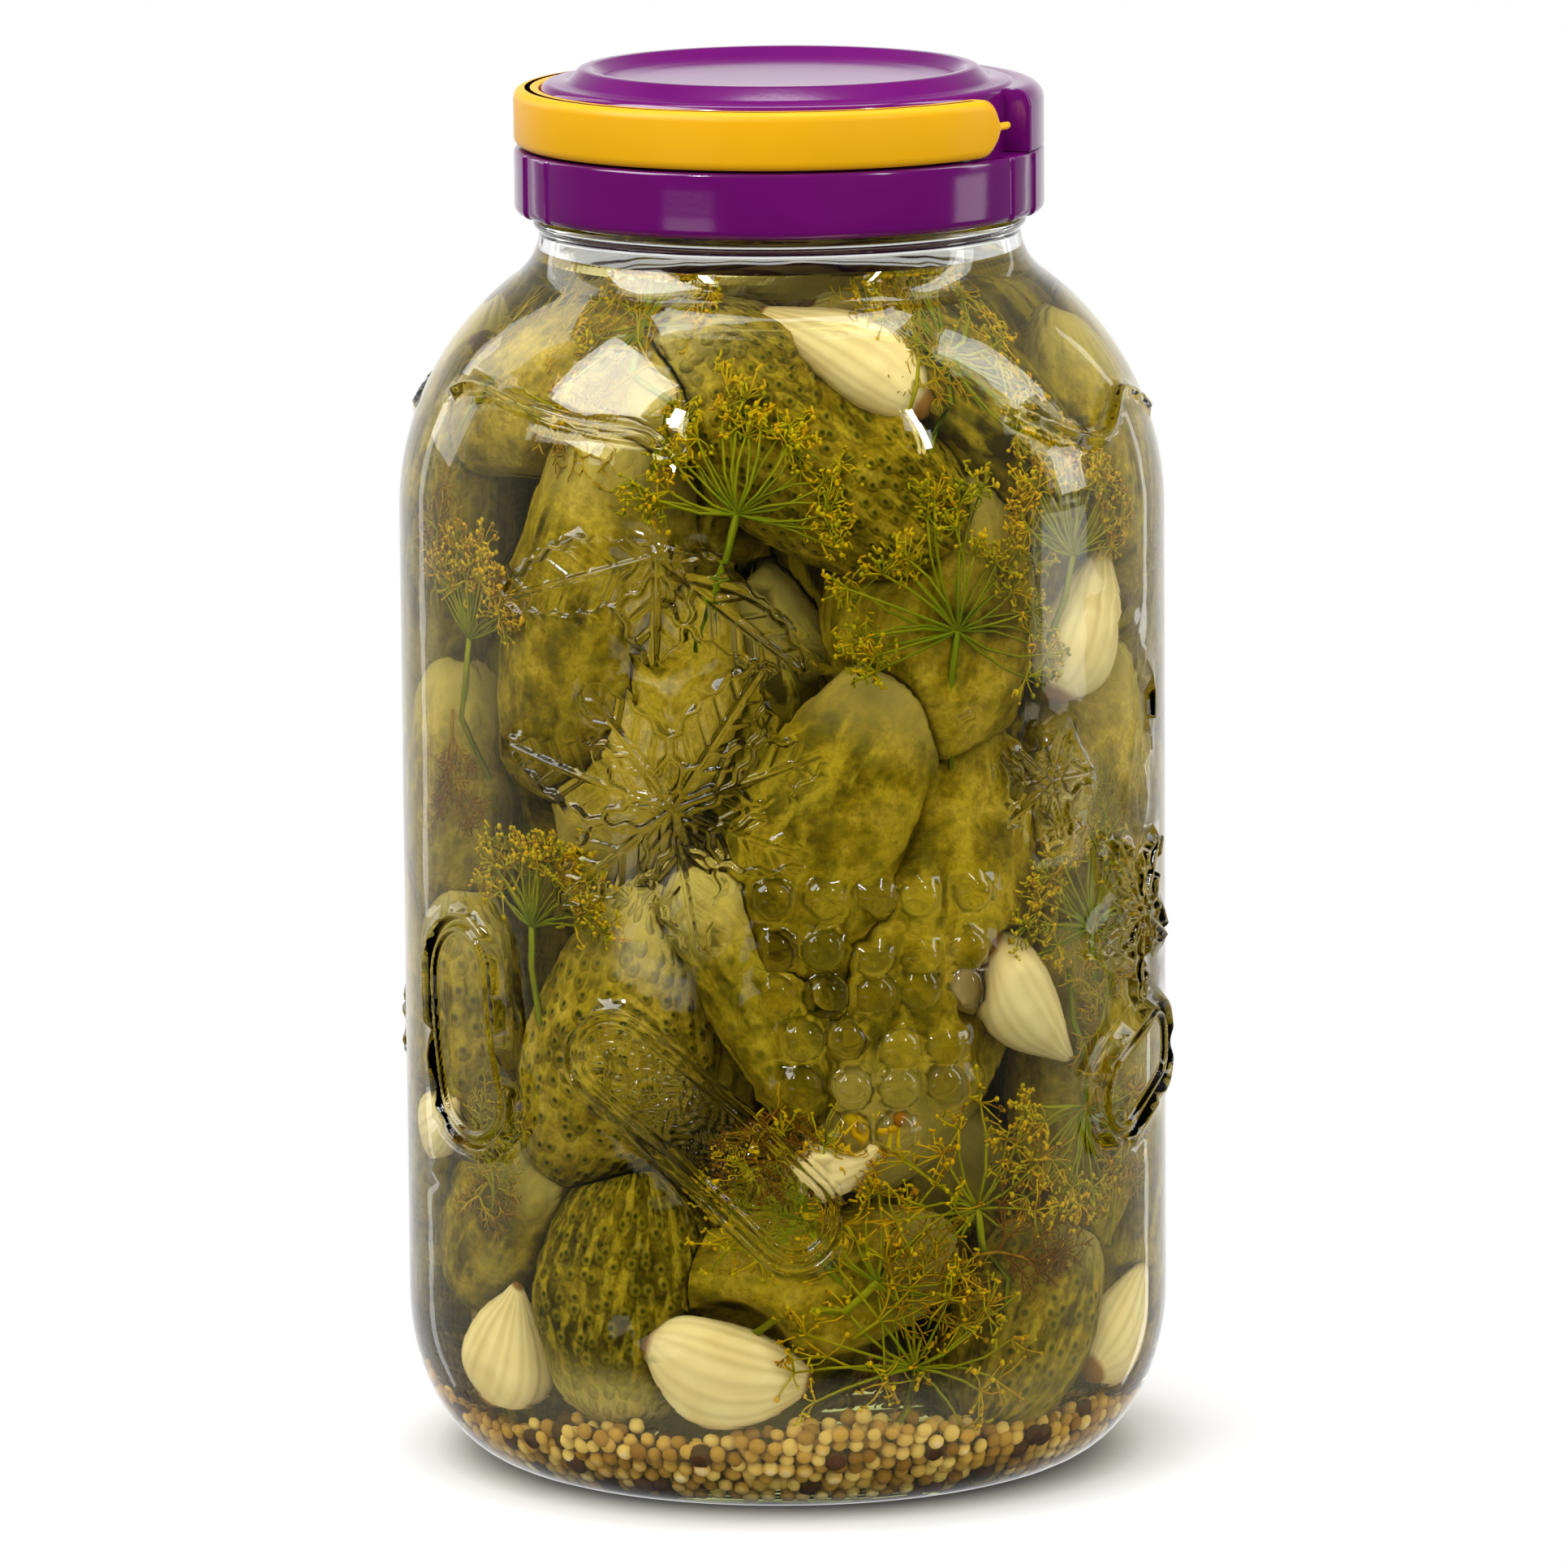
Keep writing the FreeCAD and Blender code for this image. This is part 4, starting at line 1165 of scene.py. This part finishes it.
def gherkin_skin():
    """Mottled olive skin with pale streaks, dark-eyed warts, a pale tip and a brown scar at each end."""
    skin = material("gherkin skin")
    fine = skin.noise(700, 4, 0.7)
    warty = skin.read("warty")
    flat = skin.node("CombineXYZ", {"X": skin.read("along"), "Y": skin.read("round")})["Vector"]
    swing = skin.times(skin.noise(90, 5, 0.65), 2.2)
    flesh = skin.ramp(skin.maths("SUBTRACT", skin.maths("ADD", swing, skin.read("tone")), 1.13),
                      (0.02, (0.036, 0.030, 0.001)), (0.32, (0.140, 0.108, 0.003)),
                      (0.60, (0.295, 0.220, 0.007)), (0.95, (0.540, 0.420, 0.070)))
    stretched = skin.node("Mapping", {"Scale": (0.45, 1.5, 1), "Vector": flat})["Vector"]
    streak = skin.node("TexNoise", {"Scale": 1.0, "Detail": 4, "Vector": stretched}, noise_dimensions="2D")
    striped = skin.mix(skin.ramp(streak["Fac"], (0.48, 0), (0.62, 0.7)), flesh, (0.46, 0.37, 0.03))
    speck = skin.ramp(fine, (0.36, (0.62, 0.64, 0.55)), (0.60, (1.15, 1.13, 1.1)))
    specked = skin.mix(0.85, striped, speck, "MULTIPLY")
    spread = {"Scale": 1.0, "Randomness": 0.75, "Vector": flat}
    cells = skin.node("TexVoronoi", spread, voronoi_dimensions="2D")["Distance"]
    dome = skin.ramp(cells, (0.10, 1), (0.22, 0.75), (0.44, 0))
    eye = skin.ramp(cells, (0.08, 1), (0.23, 0))
    haloed = skin.mix(skin.times(skin.times(dome, 0.60), warty), specked, (0.40, 0.33, 0.02))
    dotted = skin.mix(skin.times(eye, warty), haloed, (0.042, 0.044, 0.002))
    tipped = skin.mix(skin.times(skin.read("tip"), 0.8), dotted, (0.60, 0.52, 0.22))
    scarred = skin.mix(skin.read("scar"), tipped, (0.10, 0.050, 0.012))
    knobs = skin.bump(skin.times(dome, warty), 1.0, 0.0013, Normal=skin.bump(fine, 0.6, 0.0009))
    return skin.done(skin.surface(scarred, knobs, 0.28, SUNK_IOR))


def garlic_skin():
    """Ivory with brownish streaks along it and a brown root."""
    skin = material("garlic skin")
    base = skin.ramp(skin.noise(120, 3), (0.3, (0.84, 0.72, 0.56)), (0.7, (0.95, 0.88, 0.78)))
    veined = skin.mix(skin.times(skin.read("streak"), 0.62), base, (0.42, 0.32, 0.14))
    ended = skin.mix(skin.read("root"), veined, (0.26, 0.13, 0.04))
    return skin.done(skin.surface(ended, skin.bump(skin.noise(700, 2), 0.12, 0.0005), 0.30, SUNK_IOR))


def dill_green(name, stops, roughness):
    """Green to brown, by the brownness of the piece and a slow cloud."""
    dyed = material(name)
    shifted = dyed.maths("ADD", dyed.read("brown"), dyed.times(dyed.noise(160, 2), 0.6))
    colour = dyed.ramp(dyed.maths("SUBTRACT", shifted, 0.3), *stops)
    inputs = {"Base Color": colour, "Roughness": roughness, "IOR": SUNK_IOR}
    return dyed.done(dyed.node("BsdfPrincipled", inputs)["BSDF"])


def seed_shell(name, stops, wrinkle):
    shell = material(name)
    colour = shell.ramp(shell.read("shade"), *stops)
    return shell.done(shell.surface(colour, shell.bump(shell.noise(900, 3), wrinkle, 0.0005), 0.5, SUNK_IOR))


def plastic(name, dark, light, roughness, shine):
    """Moulded plastic: a nearly even colour with the faintest clouding and a fine grain."""
    cast = material(name)
    colour = cast.ramp(cast.noise(40, 2), (0.3, dark), (0.7, light))
    grain = cast.bump(cast.noise(900, 2), 0.03, 0.0003)
    return cast.done(cast.surface(colour, grain, roughness, 1.5, {"Specular IOR Level": shine}))


# ---------------------------------------------------------------- building
GLASS_TINT, FOOT_TINT, GLASS_SHADOW = (0.985, 0.995, 0.985), (0.42, 0.62, 0.50), (0.97, 0.98, 0.97)
BRINE_TINT, BRINE_SHADOW = (0.97, 0.85, 0.36), (0.98, 0.92, 0.66)
GLASS = clear_material("clear glass", GLASS_TINT, FOOT_TINT, 1.5, GLASS_SHADOW, 0.14)
BRINE = clear_material("brine", BRINE_TINT, BRINE_TINT, 1.333, BRINE_SHADOW, 0.0)
PURPLE = plastic("purple lid plastic", (0.128, 0.0030, 0.124), (0.152, 0.0040, 0.148), 0.13, 0.85)
YELLOW = plastic("yellow handle plastic", (0.83, 0.410, 0.000), (0.89, 0.440, 0.000), 0.34, 0.22)

finish_piece(glass_jar(), GLASS, replaces=("jar_glass",))
finish_piece(brine_fill(), BRINE, replaces=("brine",))

SKIN = gherkin_skin()
PACKED = GHERKINS + tuple(core_gherkins())
AXES = [gherkin_axis(spec, (-1, -0.5, 0, 0.5, 1)) for spec in PACKED]
for number in range(len(PACKED)):
    finish_piece(gherkin(number, PACKED, AXES), SKIN)
PEEL = garlic_skin()
for number, spec in enumerate(GARLIC):
    finish_piece(garlic(number, spec), PEEL)

STALK = dill_green("dill stalk", (
    (0.05, (0.17, 0.24, 0.008)), (0.4, (0.30, 0.30, 0.006)),
    (0.7, (0.46, 0.32, 0.005)), (1.0, (0.20, 0.085, 0.006))), 0.5)
FLORET = dill_green("dill floret", (
    (0.10, (0.24, 0.27, 0.006)), (0.40, (0.48, 0.41, 0.005)),
    (0.72, (0.66, 0.42, 0.005)), (1.0, (0.24, 0.09, 0.006))), 0.6)
for piece, look in zip(dill(), (STALK, FLORET, FLORET)):
    finish_piece(piece, look)

PALE_SHELL = seed_shell("coriander shell", (
    (0.0, (0.26, 0.13, 0.02)), (0.5, (0.56, 0.35, 0.10)), (1.0, (0.86, 0.68, 0.34))), 0.35)
DARK_SHELL = seed_shell("allspice shell", ((0.0, (0.040, 0.018, 0.009)), (1.0, (0.090, 0.040, 0.018))), 0.6)
for piece, look in zip(seeds(), (PALE_SHELL, DARK_SHELL)):
    finish_piece(piece, look)

for shape, solid in ((skirt, "screw_cap"), (cover_disc, "lid_cover"), (half_ring, "lid_cover")):
    finish_piece(shade_by_angle(shape()), PURPLE, replaces=(solid,))
finish_piece(shade_by_angle(carry_handle()), YELLOW, body="handle", replaces=("handle",))


# ---------------------------------------------------------------- stage
def backdrop_world():
    """A white room with a dark side towards the viewer, and even soft light for what is matt."""
    world = bpy.data.worlds.new("studio")
    bpy.context.scene.world = world
    room = Shading(world)
    way = room.node("SeparateXYZ", {"Vector": room.place("Generated")})
    depth = room.maths("MULTIPLY_ADD", way["Y"], 0.5)
    sides = room.ramp(depth, (0.20, 0.0), (0.55, 0.04), (0.75, 0.14), (0.88, 0.45), (0.97, 1.0))
    overhead = room.ramp(way["Z"], (0.08, 1.0), (0.17, 0.75), (0.30, 0.40), (0.80, 0.20))
    mirror_view = room.mix(1.0, sides, overhead, "MULTIPLY")
    clear_view = room.ramp(depth, (0.20, 0.03), (0.45, 0.30), (0.60, 0.95), (0.70, 1.0))
    path = room.node("LightPath", {})
    mirrored = room.maths("MAXIMUM", path["Is Glossy Ray"], path["Is Transmission Ray"])
    view = room.mix(path["Is Transmission Ray"], mirror_view, clear_view)
    lit, shown, white = [room.node("Background", {"Color": colour, "Strength": strength})[0]
                         for colour, strength in (((1, 1, 1), 0.42), (view, 1.0), ((1, 1, 1), 1.0))]
    seen = room.blend(path["Is Camera Ray"], room.blend(mirrored, lit, shown), white)
    room.node("OutputWorld", {"Surface": seen})


def studio_floor():
    """A white floor with a painted contact shadow round the jar's foot, that fades into the white room well
    away from the jar.
    """
    clear_selection()
    bpy.ops.mesh.primitive_circle_add(vertices=96, radius=0.9, fill_type="NGON", location=(0, 0, 0))
    floor = bpy.context.object
    floor.name = "studio_floor"
    ground = material("studio floor")
    away = ground.node("VectorMath", {0: ground.place()}, operation="LENGTH")["Value"]
    # painted contact shadow: the floor's colour is darkest at the jar's foot and grows white by 12 cm from
    # its axis
    near = ground.ramp(away, (0.060, 0.08), (0.067, 0.34), (0.078, 0.74), (0.092, 0.93), (0.12, 0.97))
    matt = ground.node("BsdfPrincipled", {"Base Color": near, "Roughness": 0.9})["BSDF"]
    fade = ground.ramp(away, (0.088, 0), (0.15, 1))
    gone = ground.node("BsdfTransparent", {})["BSDF"]
    floor.data.materials.append(ground.done(ground.blend(fade, matt, gone)))
    floor.visible_glossy = False


def placed(obj, place, way, track):
    """Puts a lamp or the camera at a place, with one of its axes along a direction."""
    bpy.context.scene.collection.objects.link(obj)
    obj.matrix_world = Matrix.Translation(place) @ way.to_track_quat(track, "Y").to_matrix().to_4x4()
    return obj


def softbox(name, azimuth, elevation, distance, size, power, mirrored=True, lights=True):
    """A lamp that looks at the jar's middle. It may be seen in the glass only, or only light what is matt."""
    light = bpy.data.lights.new(name, "AREA")
    light.shape = "RECTANGLE"
    light.size, light.size_y = size
    light.energy = power
    a, rise = math.radians(azimuth), math.radians(elevation)
    out = Vector((math.sin(a) * math.cos(rise), -math.cos(a) * math.cos(rise), math.sin(rise)))
    lamp = placed(bpy.data.objects.new(name, light), Vector((0, 0, 0.15)) + out * distance, out, "Z")
    lamp.visible_diffuse = lights
    lamp.visible_glossy = mirrored
    lamp.visible_transmission = mirrored


def camera():
    """A long lens a little above the jar."""
    elevation, distance, target_z, aim_z, roll = math.radians(9.7), 2.4, 0.150, 0.1466, math.radians(-0.45)
    data = bpy.data.cameras.new("view")
    data.sensor_width = 36
    data.lens = 253
    data.clip_end = 50
    place = Vector((0, -distance * math.cos(elevation), target_z + distance * math.sin(elevation)))
    seen = placed(bpy.data.objects.new("view", data), place, Vector((0, 0, aim_z)) - place, "-Z")
    seen.matrix_world @= Matrix.Rotation(roll, 4, "Z")
    bpy.context.scene.camera = seen


SHOWN_ONLY = {"lights": False}      # seen in the glass and the plastic, without lighting what is matt
LIGHT_ONLY = {"mirrored": False}    # lights what is matt, without being seen
LAMPS = (
    # name, azimuth, elevation, distance, width and height, power, use
    ("left_box", -76, 44, 1.4, (0.75, 0.80), 13, SHOWN_ONLY),
    ("left_soft", -70, 46, 1.5, (1.9, 1.9), 12, LIGHT_ONLY),
    ("left_rear_box", -128, 28, 1.35, (0.5, 1.0), 2.5, {}),
    ("right_box", 97, 32, 1.35, (0.30, 1.3), 5, {}),
    ("front_key", -20, 52, 1.8, (1.6, 1.6), 18, LIGHT_ONLY),
    ("front_fill", 38, 20, 1.8, (1.2, 1.2), 8, LIGHT_ONLY),
    ("top_box", 180, 78, 1.4, (1.2, 1.0), 11, LIGHT_ONLY),
    ("top_strip", 180, 84, 1.4, (1.2, 0.30), 5, SHOWN_ONLY),
    ("left_glow", -40, -8, 1.8, (0.7, 0.30), 0.6, SHOWN_ONLY),
    ("right_glow", 92, -4, 1.8, (0.6, 0.34), 0.9, SHOWN_ONLY),
    ("left_spark", -40, 42, 1.9, (0.12, 0.42), 7, SHOWN_ONLY),
    ("right_spark", 50, 38, 1.9, (0.07, 0.50), 4, SHOWN_ONLY),
    ("left_strip", -136, 0, 1.5, (0.10, 1.6), 0.6, {}),
    ("right_strip", 138, 0, 1.5, (0.08, 1.6), 0.6, {}),
)

backdrop_world()
studio_floor()
for *placing, use in LAMPS:
    softbox(*placing, **use)
camera()

scene = bpy.context.scene
scene.view_settings.view_transform = "Standard"
scene.cycles.caustics_refractive = False
scene.cycles.caustics_reflective = False
